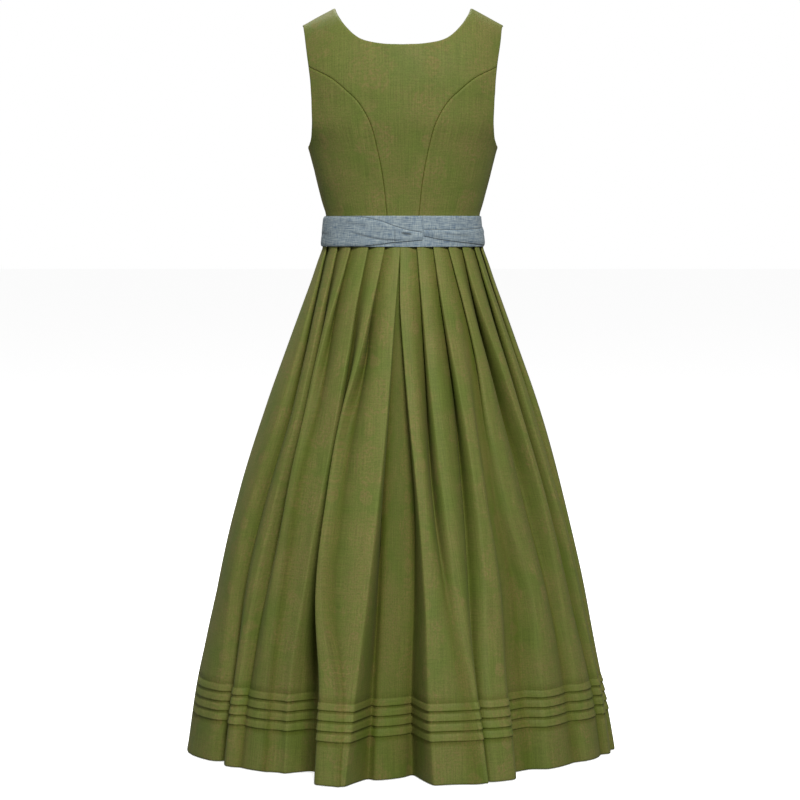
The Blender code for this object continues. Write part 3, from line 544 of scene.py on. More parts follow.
# Cow horn, sawn, turned and polished: dark brown with paler streaks, and a soft gloss.
horn, tree = new_material("turned_polished_horn")
place = add_node(tree, "TexCoord").outputs["Object"]
streak = spread(tree, add_noise(tree, place, (240, 90, 700), 4, Distortion=1.2), 0.38, 0.66)
set_shader(tree, mix_paints(tree, streak, "#3B2A1A", "#8A6B45"), streak, 0.1, 0.0001, {
    "IOR": 1.55, "Roughness": 0.32, "Coat Weight": 0.25, "Coat Roughness": 0.2})

sides = 40
mesh = bpy.data.meshes.new("button_face")
points = [(radius * math.cos(math.tau * s / sides), radius * math.sin(math.tau * s / sides), z)
          for radius, z in BUTTON_PROFILE[1:-1] for s in range(sides)]
rings = len(BUTTON_PROFILE) - 2
points += [(0, 0, BUTTON_PROFILE[0][1]), (0, 0, BUTTON_PROFILE[-1][1])]
top, bottom = len(points) - 2, len(points) - 1
faces = [(r * sides + s, (r + 1) * sides + s, (r + 1) * sides + (s + 1) % sides,
          r * sides + (s + 1) % sides) for r in range(rings - 1) for s in range(sides)]
faces += [(top, s, (s + 1) % sides) for s in range(sides)]
faces += [(bottom, (rings - 1) * sides + (s + 1) % sides, (rings - 1) * sides + s)
          for s in range(sides)]
mesh.from_pydata(points, [], faces)
turned = add_object("button_turned", mesh)
for quarter in range(4):
    turn = math.tau * (quarter + 0.5) / 4
    bpy.ops.mesh.primitive_cylinder_add(
        vertices=16, radius=HOLE_RADIUS, depth=BUTTON_THICK * 2,
        location=(HOLE_OUT * math.cos(turn), HOLE_OUT * math.sin(turn), 0))
    drill = bpy.context.object
    hole = turned.modifiers.new("hole", "BOOLEAN")
    hole.operation = "DIFFERENCE"
    hole.object = drill
bored = bpy.data.meshes.new_from_object(turned.evaluated_get(bpy.context.evaluated_depsgraph_get()))
bored.materials.clear()
bored.materials.append(horn)
for drill in [hole.object for hole in turned.modifiers]:
    bpy.data.objects.remove(drill, do_unlink=True)
bpy.data.objects.remove(turned, do_unlink=True)

for row in range(1, 7):
    low, high = (Vector(corner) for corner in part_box(f"button_{row}"))
    middle = (low + high) / 2
    seat = cloth_point(np.array(180.0), np.array(middle.z))
    outward = Vector(cloth_point(np.array(180.0), np.array(middle.z), 1.0) - seat)
    mesh = bored.copy()
    mesh.transform(Matrix.Translation(middle) @ outward.to_track_quat("Z", "Y").to_matrix().to_4x4())
    dress(f"button_{row}", mesh)


# The skirt: straight widths of the same jacquard in two halves with seams at the sides, laid in
# knife pleats that face the centre back, with an inverted pleat there. The pleats are sewn down
# in the waist only, so they open and soften on the way to the hem. Four tucks run round above it.

BAND_BOTTOM = -0.413
HEM = -1.298
SKIRT_CLOTH = 0.0012
LAYER = 0.0028
UNDERLAY = 0.012
SKIRT_IN = 0.0008
# Where each pleat's folded edge is, in degrees, at these heights. A row is a pleat, from the left
# side over the back to the right side and on round the front.
EDGE_HEIGHTS = (-0.413, -0.500, -0.600, -0.700, -0.850, -1.000, -1.150, -1.298)
PLEAT_EDGES = (
    (-72, -68, -65, -64, -68.5, -69.5, -66, -66),
    (-54, -54, -52.5, -51.5, -54.5, -57, -58, -56),
    (-40, -43.5, -46, -45.5, -45, -45, -45, -45),
    (-25.2, -28, -28.6, -29.3, -31, -33.5, -36, -36),
    (-13, -17.3, -21, -25.5, -26, -24, -16, -14.2),
    (-2, -3.9, -5.2, -6, -7.6, -9.4, -11.5, -13),
    (-1.7, -1.6, 0.4, 2.3, 4.6, 5.6, 5.5, 6.5),
    (10.1, 10.8, 11.2, 11.6, 12.8, 15, 18, 20),
    (22, 23, 24.5, 25.6, 26, 24.5, 22, 22),
    (34, 38, 40.5, 39.5, 41.7, 48, 47.5, 47),
    (47, 49.8, 55.3, 59.2, 63, 64.5, 65, 65),
    (63, 66.5, 69, 69.6, 72.6, 75.5, 78.5, 79.5),
    (79, 80, 81, 82, 83, 85, 86.5, 87),
    (99, 99, 100, 100, 100, 101, 101, 101),
    (113, 113, 114, 114, 114, 113, 113, 113),
    (126, 126, 126, 125, 126, 127, 127, 127),
    (139, 138, 138, 138, 139, 139, 140, 140),
    (152, 152, 151, 152, 152, 153, 153, 153),
    (166, 166, 165, 165, 166, 166, 167, 167),
    (194, 194, 195, 195, 194, 194, 193, 193),
    (208, 208, 208, 208, 207, 207, 206, 206),
    (221, 221, 222, 222, 222, 221, 221, 221),
    (234, 234, 234, 234, 233, 233, 232, 232),
    (247, 246, 244, 243, 244, 244, 245, 245),
    (260, 258, 257, 256, 256, 257, 257, 257),
)
# How far a pleat's crest, and then the valley under its fold, stand out at these heights, in mm.
# Last come the height where the pleat has opened and how far it opens.
DEPTH_HEIGHTS = (-0.600, -0.800, -1.050, -1.298)
PLEAT_DEPTHS = (
    ((4, 8, 10, 12), (-12, -12, -10, -8), -0.80, 0.90),
    ((4, 8, 14, 20), (-18, -24, -4, 14), -0.80, 1.00),
    ((5, 12, 17, 18), (-10, 9, 15, 16), -0.70, 1.00),
    ((1, 6, 10, 4), (-14, -30, -46, -40), -1.26, 1.00),
    ((4, 14, 30, 48), (-18, 4, 28, 44), -0.74, 1.00),
    ((6, 16, 28, 40), (-14, -26, -38, -32), -1.50, 0.80),
    ((4, 16, 22, 18), (-3, -16, -46, -76), -1.20, 0.90),
    ((4, 12, 22, 36), (-20, -17, 18, 36), -0.90, 1.00),
    ((4, 10, 18, 34), (-17, -20, -6, 24), -1.05, 1.00),
    ((1, 4, 6, 4), (-5, -8, -16, -14), -0.85, 1.00),
    ((3, 4, 2, 0), (-26, -30, -12, -4), -0.90, 1.00),
    ((3, 4, 3, 2), (-14, -14, -10, -8), -0.90, 0.90),
    ((4, 4, 2, 2), (-6, -8, -8, -8), -0.80, 1.00),
    ((3, 5, 7, 10), (-3, -6, -9, -12), -0.80, 1.00),
    ((3, 6, 9, 12), (-4, -7, -11, -14), -0.95, 1.00),
    ((3, 5, 7, 10), (-4, -8, -12, -16), -0.84, 1.00),
    ((3, 6, 9, 12), (-5, -9, -14, -18), -1.05, 1.00),
    ((3, 5, 8, 11), (-4, -7, -11, -14), -0.90, 1.00),
    ((3, 5, 7, 10), (-4, -8, -12, -16), -0.98, 1.00),
    ((3, 5, 8, 11), (-4, -7, -11, -14), -0.94, 1.00),
    ((3, 6, 9, 12), (-5, -9, -14, -18), -1.02, 1.00),
    ((3, 5, 7, 10), (-4, -7, -11, -14), -0.86, 1.00),
    ((3, 6, 9, 12), (-4, -8, -12, -16), -0.98, 1.00),
    ((3, 6, 9, 12), (-4, -7, -10, -13), -0.82, 1.00),
    ((2, 4, 6, 8), (-3, -6, -9, -12), -0.90, 1.00),
)
# Under three pleats the cloth stays down in the fold before it comes out to the next one: how much
# of the way across it stays there, and how deep it still is.
STAYS_DOWN = {3: (0.60, 0.80), 5: (0.36, 0.70), 9: (0.50, 0.80)}
BACK_PLEATS = 13
FIRST_RIGHT = 6
RIGHT_PLEATS = range(FIRST_RIGHT, 19)
RING_STEP = 0.0105
UNEVEN_OUT = 0.0025
TUCK_EDGES = (0.1210, 0.1045, 0.0880, 0.0715)
# Down a tuck, from its stitching to under its folded edge: height above that edge, how far out,
# how much painted shade lies there, and how much painted highlight it gets near the folded edge.
TUCK_PROFILE = ((0.0125, 0.0, 0.2, 0), (0.0118, -0.0003, 0.2, 0), (0.0105, 0.0006, 0, 0.2),
                (0.0060, 0.0010, 0, 0.2), (0.0014, 0.0018, 0, 0.9), (0.0002, 0.0016, 0, 0.9),
                (-0.0008, 0.0003, 0.7, 0), (-0.0020, 0.0, 0.5, 0))
# Across one pleat, from the cloth that comes in under the fold to the face that goes out over it:
# how far each place lies from the folded edge, and how far out from the form. Shut turns count
# steps beside the edge, underlays and shares of the face. Open turns are shares of the gap to the
# next edge, under the fold or over it, and the first counts how far across the cloth comes out
# again. Layers, the cloth beyond, valley and crest add up to the distance out. Last come how much
# painted shade the place gets, more the deeper in the fold it lies, and how much painted highlight,
# most on the folded edge.
PLEAT_PLACE_COLUMNS = ("beside_shut", "underlay_shut", "over_shut", "under_open", "over_open",
                       "layers_in", "beyond", "valley", "crest", "shade_in_fold", "pressed")
PLEAT_PLACES = (
    (-1.0, 0, 0.00, -1.00, 0.00, 2, 1, 0.00, 0.00, 0.35, 0.0),
    (0.0, 1, 0.00, -0.24, 0.00, 2, 0, 0.95, 0.00, 1.00, 0.0),
    (0.0, 1, 0.00, -0.13, 0.00, 1, 0, 1.00, 0.00, 1.00, 0.0),
    (0.0, 0, 0.00, -0.04, 0.00, 1, 0, 0.50, 0.50, 0.50, 0.0),
    (0.0, 0, 0.00, 0.00, 0.06, 0, 0, 0.00, 0.94, 0.00, 1.0),
    (1.2, 0, 0.00, 0.00, 0.15, 0, 0, 0.00, 0.97, 0.00, 0.3),
    (0.0, 0, 0.46, 0.00, 0.34, 0, 0, 0.00, 1.00, 0.00, 0.0),
)
FOLD_EDGE = 3
UNDER_SHARE = 0.36


def outward_at(angle, height):
    """The level direction straight out from the form."""
    along = on_form(angle + 0.2, height) - on_form(angle - 0.2, height)
    normal = np.stack([along[..., 1], -along[..., 0], 0 * along[..., 0]], axis=-1)
    return normal / np.linalg.norm(normal, axis=-1, keepdims=True)


def off_form(angle, height, out):
    """A point out from the form by a level distance."""
    return on_form(angle, height) + outward_at(angle, height) * np.asarray(out)[..., None]


def degrees_for(length, angle, height):
    """The angle that a length round the form takes up."""
    step = on_form(angle + 0.5, height) - on_form(angle - 0.5, height)
    return length / np.linalg.norm(step, axis=-1)


def down_the_skirt(heights, values, height):
    """The value at a height, on a smooth curve through values at falling heights."""
    table = np.column_stack([heights, values])
    return float(read(table, ("height", "value"), "value", height))


def pleat_line(height):
    """The middle of the skirt's cloth at a height, all round: rows of angle, distance out, painted
    shade by how deep in a fold the place lies, and painted highlight by how near it is to a folded
    edge."""
    pleats = []
    for edges, (crests, valleys, opens_at, opening) in zip(PLEAT_EDGES, PLEAT_DEPTHS):
        crest, valley = (down_the_skirt((BAND_BOTTOM, *DEPTH_HEIGHTS), (0, *depths), height) / 1000
                         for depths in (crests, valleys))
        opened = opening * float(blend(BAND_BOTTOM, opens_at, height))
        pleats.append((down_the_skirt(EDGE_HEIGHTS, edges, height), crest, valley, opened))
    rows = []
    for i, (edge, crest, valley, opened) in enumerate(pleats):
        away = 1 if i in RIGHT_PLEATS else -1
        last, following = pleats[i - 1], pleats[(i + 1) % len(pleats)]
        gaps = ((edge - last[0]) % 360, (following[0] - edge) % 360)
        top_gap, under_gap = gaps[::-1] if away > 0 else gaps
        comes_from = last if away > 0 else following
        across, under = UNDER_SHARE, (valley + comes_from[1]) / 2
        if i == FIRST_RIGHT:
            under = (valley + comes_from[2]) / 2
        if i in STAYS_DOWN:
            across, under = STAYS_DOWN[i][0], STAYS_DOWN[i][1] * valley
        shut = 1 - opened
        tuck_in = min(float(degrees_for(UNDERLAY, edge, height)), 0.40 * top_gap)
        beside = float(degrees_for(LAYER * 0.7, edge, height))
        places = []
        for row in PLEAT_PLACES:
            at = dict(zip(PLEAT_PLACE_COLUMNS, row))
            under_open = at["under_open"] * (across if at["beyond"] else 1)
            turn = shut * (at["beside_shut"] * beside + at["underlay_shut"] * tuck_in
                           + at["over_shut"] * top_gap)
            turn += opened * (under_open * under_gap + at["over_open"] * top_gap)
            out = at["beyond"] * under + at["valley"] * valley + at["crest"] * crest
            out -= at["layers_in"] * LAYER * shut + SKIRT_IN
            # Painted shade deep in the fold and painted highlight on the folded edge, both weaker as
            # the pleat opens.
            places.append((edge + away * turn, out, at["shade_in_fold"] * (1 - 0.6 * opened),
                           at["pressed"] * (1 - 0.5 * opened)))
        rows += places[::away]
    return np.array(rows)


def fabric_places(line, faces_right, points):
    """How far round the flat cloth each place of a level line is. It is measured from the folded
    edges, whose places are given, over the faces that show, and is spread over what is hidden."""
    arc = np.concatenate([[0], np.cumsum(np.linalg.norm(np.diff(line, axis=0), axis=1))])
    known, places = [], []
    for edge, right in faces_right:
        span = range(edge, edge + 5) if right else range(edge - 4, edge + 1)
        for i in span:
            if 0 <= i < len(line):
                known.append(i)
                places.append(points[edge] + arc[i] - arc[edge])
    order = np.argsort(known)
    known, places = np.array(known)[order], np.array(places)[order]
    first, last = places[0] - arc[known[0]], places[-1] + arc[-1] - arc[known[-1]]
    return np.interp(arc, [-1e-6, *arc[known], arc[-1] + 1e-6], [first, *places, last])


def rounded(rows):
    """A run of rows with its corners cut twice, so that folds turn over softly."""
    for _ in range(2):
        near, far = rows[:-1], rows[1:]
        cut = np.empty((2 * len(near), rows.shape[1]))
        cut[0::2] = 0.75 * near + 0.25 * far
        cut[1::2] = 0.25 * near + 0.75 * far
        rows = np.vstack([rows[:1], cut, rows[-1:]])
    return rows


def thickened(line, thick):
    """Two copies of an open level line, half the thickness to each side, and the way out."""
    along = np.diff(line[:, :2], axis=0)
    along /= np.linalg.norm(along, axis=1, keepdims=True)
    before = np.vstack([along[:1], along])
    after = np.vstack([along, along[-1:]])
    mean = before + after
    mean /= np.maximum(np.linalg.norm(mean, axis=1, keepdims=True), 1e-9)
    side = np.column_stack([mean[:, 1], -mean[:, 0]])
    stretch = np.maximum((mean * before).sum(axis=1), 0.8)[:, None]
    step = side * thick / 2 / stretch
    outer, inner = line.copy(), line.copy()
    outer[:, :2] += step
    inner[:, :2] -= step
    return outer, inner, side


def skirt_ring(height, first_pleat, last_pleat, from_angle, to_angle):
    """One half of the skirt at a height, before its folds are rounded: rows as in pleat_line."""
    rows = pleat_line(height)
    start, stop = first_pleat * len(PLEAT_PLACES), last_pleat * len(PLEAT_PLACES)
    if first_pleat == 0:
        rows = rows[start:stop]
    else:
        last = rows[:1].copy()
        last[0, 0] += 360
        rows = np.vstack([rows[start - 1:stop], last])
    rows[0, 0], rows[-1, 0] = from_angle, to_angle
    return rows


def add_skirt(name, first_pleat, last_pleat, from_angle, to_angle):
    """A pleated wall from the waist to the hem, with the tucks raised in its outer side."""
    top = WAIST - SEAM_GAP / 2
    upper = np.arange(top, HEM + TUCK_EDGES[0] + 0.018, -RING_STEP)
    rings = [(height, 0, 0, 0) for height in upper]
    for edge in TUCK_EDGES:
        rings += [(HEM + edge + above, *rest) for above, *rest in TUCK_PROFILE]
    lower = np.linspace(HEM + TUCK_EDGES[-1] - 0.010, HEM + 0.003, 8)
    # The hem's rim gets a full painted highlight.
    rings += [(height, 0, 0, 0) for height in lower] + [(HEM, -0.0003, 0, 1)]
    place = (first_pleat, last_pleat, from_angle, to_angle)
    shift = 0 if first_pleat == 0 else 1
    faces_right = []
    for i in range(last_pleat - first_pleat):
        right = first_pleat + i in RIGHT_PLEATS
        edge = FOLD_EDGE if right else len(PLEAT_PLACES) - 1 - FOLD_EDGE
        faces_right.append((shift + i * len(PLEAT_PLACES) + edge, right))
    hem = skirt_ring(HEM, *place)
    hem = off_form(hem[:, 0], HEM, hem[:, 1])
    hem_places = np.concatenate([[0], np.cumsum(np.linalg.norm(np.diff(hem, axis=0), axis=1))])
    outside, inside, cut, shade_in_fold, pressed = [], [], [], [], []
    down, area, last_spine = 0.0, 0.0, None
    for height, raised, shaded, edge_highlight in rings:
        spine = on_form(30.0, height)
        step = 0 if last_spine is None else np.linalg.norm(spine - last_spine)
        down, last_spine = down + step, spine
        rows = skirt_ring(height, *place)
        around = fabric_places(off_form(rows[:, 0], height, rows[:, 1]), faces_right, hem_places)
        rows = rounded(np.column_stack([rows, around]))
        angle, out = rows[:, 0], rows[:, 1]
        fall = (WAIST - height) / (WAIST - HEM)
        uneven = np.sin(0.21 * angle + 9 * height) * np.sin(0.083 * angle - 14 * height + 1)
        line = off_form(angle, height, out + UNEVEN_OUT * fall * uneven)
        area += step * np.linalg.norm(np.diff(line, axis=0), axis=1).sum()
        outer, inner, side = thickened(line, SKIRT_CLOTH)
        outer[:, :2] += side * raised
        for edge in (outer, inner):
            for end in (0, -1):
                edge[end, 1] = math.copysign(SEAM_GAP / 2, -math.cos(math.radians(angle[5])))
        outside.append(outer)
        inside.append(inner)
        cut.append(np.column_stack([rows[:, 4], np.full(len(rows), -down)]))
        # Painted shade in folds and under each tuck's edge; painted highlight on fold edges, weaker
        # toward the hem, on the tucks' folded edges and on the hem's rim.
        shade_in_fold.append(np.maximum(rows[:, 2], shaded))
        pressed.append(np.maximum(rows[:, 3] * (1 - 0.5 * fall), edge_highlight))
    width = len(outside[0])
    faces = [(r * width + c, (r + 1) * width + c, (r + 1) * width + c + 1, r * width + c + 1)
             for r in range(len(rings) - 1) for c in range(width - 1)]
    skirt = sew(name, np.concatenate(outside), np.concatenate(inside), faces, np.concatenate(cut),
                (jacquard,), "green_jacquard", hollow=np.concatenate(shade_in_fold),
                pressed=np.concatenate(pressed))


for name, first, last, start, stop in (
        ("skirt_back", 0, BACK_PLEATS, -90, 90),
        ("skirt_front", BACK_PLEATS, len(PLEAT_EDGES), 90, 270)):
    add_skirt(name, first, last, start, stop)


# The apron's waistband: a doubled strip of blue-grey linen, stitched along both edges. Its ends
# pass each other at the centre back, one above the other, where the ties are sewn on.

BAND_SPLIT = -0.389
BAND_LAYER = 0.0005
TIE_LAYER = 0.00185
BAND_CLOTH = 0.0010
BAND_LEFT_END = 14.2
BAND_RIGHT_END = -5.8
BAND_STEP = 1.0

# Linen of dyed and of paler yarn, woven plain. Its threads are uneven, so slubs of 10 to 30 mm
# show as light and dark streaks both ways. Threads are 0.4 mm, drawn here 1.5 mm apart.
LINEN_PITCH = 0.0015
linen, tree = new_material("blue_grey_slub_linen")
cut = add_node(tree, "UVMap", uv_map="cut")
yarn = reckon(tree, "MULTIPLY_ADD", add_noise(tree, cut, (640, 70, 0), 3, Roughness=0.6), 0.7,
              add_noise(tree, cut, (60, 620, 0), 3, Roughness=0.6))
tone = mix_paints(tree, spread(tree, yarn, 0.64, 1.06), "#4F6376", "#98A3A3")
light = spread(tree, add_noise(tree, cut, 30, 3), 0.3, 0.7, 0.9, 1.1)
relief = reckon(tree, "MULTIPLY_ADD", yarn, 2, weave(tree, cut, LINEN_PITCH, 1.5))
# Painted highlight on the strips' edges, and painted shade, darker, in creases and beside the ties.
set_shader(tree, in_folds(tree, tone, light, 0.15, 0.45, 0), relief, 0.5, 0.0004, {
    "IOR": 1.53, "Roughness": 0.85, "Specular IOR Level": 0.3, "Sheen Weight": 0.08})


def on_band(angle, height, out):
    """A point off the straight slope that the waistband and the ties share."""
    share = (BAND_TOP - np.asarray(height)) / (BAND_TOP - BAND_BOTTOM)
    top, bottom = (off_form(angle, edge, out) for edge in (BAND_TOP, BAND_BOTTOM))
    return top + (bottom - top) * share[..., None]


def grid_faces(columns, rows):
    """Faces of a grid whose points run down each column in turn, facing out when the columns
    go round to the right and the rows go down."""
    return [(c * rows + r, c * rows + r + 1, (c + 1) * rows + r + 1, (c + 1) * rows + r)
            for c in range(columns - 1) for r in range(rows - 1)]


def add_strip(name, angles, tops, bottoms, out, rows, creases=(), puffed=0.0,
              under=()):
    """Cloth laid round the form between two edges. It has creases, stands out by a puffed height
    between its edges, has painted shade in its creases and beside the edges of the strips that it
    lies under, and a painted highlight along its own edges."""
    share = np.linspace(0, 1, rows)
    angle = np.repeat(angles, rows)
    height = (tops[:, None] + (bottoms - tops)[:, None] * share).ravel()
    metres = np.linalg.norm(np.diff(on_band(angles, WAIST + 0 * angles, out), axis=0), axis=1)
    around = np.repeat(np.concatenate([[0], np.cumsum(metres)]), rows)
    places = np.column_stack([angle * ACROSS_SCALE, height])
    from_edge = np.minimum(height - np.repeat(bottoms, rows), np.repeat(tops, rows) - height)
    folds = creased(places, creases)
    full = 0.0003 * blend(0.0, 0.003, from_edge) + puffed * blend(0.0, 0.006, from_edge)
    outer = on_band(angle, height, out + BAND_CLOTH + full + folds)
    inner = on_band(angle, height, out + np.minimum(folds, 0) * 0.3)
    # Painted shade in the valleys of the creases, and beside the edges of the ties that lie over it.
    shaded = np.clip(-folds / 0.0012, 0, 1)
    turn = (angle + 180) % 360 - 180
    for table in under:
        for lap in (-360, 0, 360):
            on_it = (turn + lap > table[0, 0]) & (turn + lap < table[-1, 0])
            top, bottom = (np.interp(turn + lap, table[:, 0], table[:, i]) for i in (1, 2))
            beyond = np.maximum(height - top, bottom - height)
            shaded = np.maximum(shaded, on_it * blend(0.0024, 0.0006, np.abs(beyond)))
    # Painted highlight along the strip's own edges, except where it has painted shade.
    strip = sew(name, outer, inner, grid_faces(len(angles), rows),
                np.column_stack([around, height]), (linen,), "blue_grey_linen",
                pressed=blend(0.0022, 0.0004, from_edge) * (1 - shaded), hollow=shaded)


half_gap = float(degrees_for(SEAM_GAP, BAND_LEFT_END, WAIST)) / 2
low_run = np.arange(BAND_RIGHT_END + half_gap, BAND_LEFT_END + half_gap, BAND_STEP)
whole_run = np.linspace(BAND_LEFT_END + 2 * half_gap, BAND_RIGHT_END + 360 - half_gap, 341)
high_run = np.linspace(BAND_RIGHT_END + 360, BAND_LEFT_END + 360 - half_gap, 21)
angles = np.concatenate([low_run, [BAND_LEFT_END + half_gap], whole_run, high_run])
low_count = len(low_run) + 1
tops = np.full(len(angles), BAND_TOP)
tops[:low_count] = BAND_SPLIT - SEAM_GAP / 2
bottoms = np.full(len(angles), BAND_BOTTOM)
bottoms[-len(high_run):] = BAND_SPLIT + SEAM_GAP / 2
# A tie's columns are the angle, the top and the bottom.
RIGHT_TIE = np.array((
    (14.8, -0.3840, -0.3935), (22.0, -0.3840, -0.3975), (30.0, -0.3845, -0.4010),
    (45.0, -0.3840, -0.4050), (66.0, -0.3825, -0.4085), (90.0, -0.3800, -0.4110),
    (120.0, -0.3700, -0.4122), (150.0, -0.3630, -0.4122), (176.0, -0.3660, -0.4090),
    (192.5, -0.3700, -0.4040)))
LEFT_TIE = np.array((
    (-156.5, -0.3700, -0.4040), (-138.0, -0.3640, -0.4100), (-110.0, -0.3610, -0.4122),
    (-42.0, -0.3610, -0.4122), (-27.0, -0.3630, -0.4115), (-16.0, -0.3690, -0.4085),
    (-6.0, -0.3780, -0.4050), (4.0, -0.3850, -0.4030), (14.0, -0.3890, -0.4010)))
add_strip("apron_waistband", angles, tops, bottoms, BAND_LAYER, 41,
          under=(RIGHT_TIE, LEFT_TIE))


# The ties: single long strips of the same linen, sewn to the ends of the waistband. They cross at
# the centre back, where they are drawn narrow and crease, and run round over the band to the front.

TIE_PUFFED = 0.0010
TIE_STEP = 0.35
# Creases run from the points given, in metres round and up, and end in their width and height:
# a long one down the left tie, the eye where the ties cross, and the seam where the tie is joined.
LEFT_CREASES = (
    ((-0.113, -0.3862), (-0.085, -0.3915), (-0.060, -0.3970), (-0.037, -0.4005),
     (-0.015, -0.4018), (0.010, -0.4015), 0.0013, -0.0012),
    ((-0.005, -0.3893), (0.005, -0.3908), (0.018, -0.3918), 0.0016, -0.0020),
    ((-0.0147, -0.3780), (-0.0147, -0.3960), (-0.0147, -0.4120), 0.0008, -0.0008),
    ((-0.125, -0.3700), (-0.095, -0.3735), (-0.060, -0.3790), 0.0030, -0.0005),
    ((-0.250, -0.3950), (-0.200, -0.3900), (-0.150, -0.3930), 0.0025, -0.0006),
    ((-0.370, -0.3850), (-0.320, -0.3950), (-0.270, -0.3960), 0.0025, -0.0007),
)
RIGHT_CREASES = (
    ((0.060, -0.3880), (0.100, -0.3930), (0.150, -0.3950), 0.0022, -0.0006),
    ((0.210, -0.3900), (0.270, -0.3960), (0.330, -0.3970), 0.0025, -0.0007),
    ((0.350, -0.3800), (0.410, -0.3850), (0.480, -0.3860), 0.0022, -0.0008),
)
for name, table, creases in (("tie_right", RIGHT_TIE, RIGHT_CREASES),
                             ("tie_left", LEFT_TIE, LEFT_CREASES)):
    angles = np.linspace(table[0, 0], table[-1, 0], round(np.ptp(table[:, 0]) / TIE_STEP))
    tops, bottoms = (np.interp(angles, table[:, 0], table[:, i]) for i in (1, 2))
    add_strip(name, angles, tops, bottoms, TIE_LAYER, 29,
              creases, TIE_PUFFED)


# The knot: the two ties tied once over at the wearer's left of the centre front. The linen is
# bunched as it goes round, so the knot is a small rounded block with folds across it.

KNOT_ANGLE = 198.0
KNOT_CLEAR = 0.0004
KNOT_WIDTH = 0.022
KNOT_HEIGHT = 0.036
KNOT_THICK = 0.013
middle = (RIGHT_TIE[-1][1] + RIGHT_TIE[-1][2]) / 2
out = TIE_LAYER + KNOT_CLEAR + KNOT_THICK / 2
seat = Vector(on_band(KNOT_ANGLE, middle, out))
round_it = on_band(KNOT_ANGLE + 1, middle, out) - on_band(KNOT_ANGLE - 1, middle, out)
up_it = on_band(KNOT_ANGLE, BAND_TOP, out) - on_band(KNOT_ANGLE, BAND_BOTTOM, out)
outward = Vector(np.cross(round_it, up_it)).normalized()
around, along = np.meshgrid(np.linspace(0, math.tau, 73)[:-1], np.linspace(-1, 1, 41))
crown = (1 - np.abs(along) ** 4) ** 0.35
folds = 1 + 0.05 * np.sin(7 * along * 2 + 2 * np.sin(around)) * (1 - along ** 2)
x = KNOT_WIDTH / 2 * np.sign(np.cos(around)) * np.abs(np.cos(around)) ** 0.7
y = KNOT_THICK / 2 * np.sign(np.sin(around)) * np.abs(np.sin(around)) ** 0.7
points = np.stack([x * crown * folds, y * crown * folds, KNOT_HEIGHT / 2 * along], axis=-1)
rows, columns = around.shape
faces = [(r * columns + c, r * columns + (c + 1) % columns, (r + 1) * columns + (c + 1) % columns,
          (r + 1) * columns + c) for r in range(rows - 1) for c in range(columns)]
places = np.column_stack([(around * 0.011).ravel(), (along * KNOT_HEIGHT / 2).ravel()])
plain = np.zeros(around.size)
mesh = cloth_mesh("tie_knot", points.reshape(-1, 3), faces, places, (linen,),
                  {"hollow": plain, "pressed": plain})
mesh.transform(Matrix.Translation(seat) @ outward.to_track_quat("Y", "Z").to_matrix().to_4x4())
dress("tie_knot", mesh)


# The apron: one width of the linen, drawn up in small even gathers and sewn into the waistband.
# The gathers run out into soft folds on the way down, and a deep hem is stitched along the bottom.

APRON_LEFT = 242.0
APRON_RIGHT = 118.0
APRON_HEM = -1.225
APRON_GATHERS = 16
APRON_CLEAR = 0.0005
APRON_OVER_PLEATS = 0.013
APRON_OVER_EDGE = 0.0012
GATHER_DEPTH = 0.0014
GATHER_GROWTH = 0.0105
GATHER_DRIFT = 0.35
SMALL_GATHERS = 44
SMALL_DEPTH = 0.0009


def apron_out(share, height):
    """How far out from the form the apron lies, at a share of the way across it."""
    fall = (WAIST - height) / (WAIST - HEM)
    over_pleats = (APRON_OVER_PLEATS * fall ** 0.9
                   + APRON_OVER_EDGE * blend(BAND_BOTTOM, -0.437, height))
    drift = GATHER_DRIFT * np.sin(3 * math.pi * share) * fall
    wave = 0.5 - 0.5 * np.cos(math.tau * (APRON_GATHERS * share + drift))
    uneven = 0.75 + 0.25 * np.sin(5.2 * math.pi * share + 1.1)
    small = blend(-0.56, -0.42, height) * np.sin(
        math.tau * (SMALL_GATHERS * share + 0.6 * np.sin(9 * share)))
    return (APRON_CLEAR + over_pleats + wave * uneven * (GATHER_DEPTH + GATHER_GROWTH * fall)
            + SMALL_DEPTH * (small + 1))


columns, rows = 289, 84
share, height = np.meshgrid(np.linspace(0, 1, columns),
                            np.linspace(BAND_BOTTOM - SEAM_GAP, APRON_HEM, rows), indexing="ij")
angle = APRON_RIGHT + (APRON_LEFT - APRON_RIGHT) * share
lift = apron_out(share, height)
outer = off_form(angle, height, lift + BAND_CLOTH)
inner = off_form(angle, height, lift)
runs = np.linalg.norm(np.diff(outer, axis=0), axis=2)
around = np.concatenate([np.zeros((1, rows)), np.cumsum(runs, axis=0)])
around -= around[columns // 2]
# A painted highlight along the last 3 mm at the hem's edge; no painted shade.
apron = sew("apron", outer.reshape(-1, 3), inner.reshape(-1, 3), grid_faces(columns, rows),
            np.column_stack([around.ravel(), height.ravel()]), (linen,), "blue_grey_linen",
            hollow=np.zeros(height.size),
            pressed=0.4 * blend(APRON_HEM + 0.003, APRON_HEM, height).ravel())


# The ends of the ties: they fall from the knot over the apron, flat and a little apart, and each
# is cut straight across and hemmed.

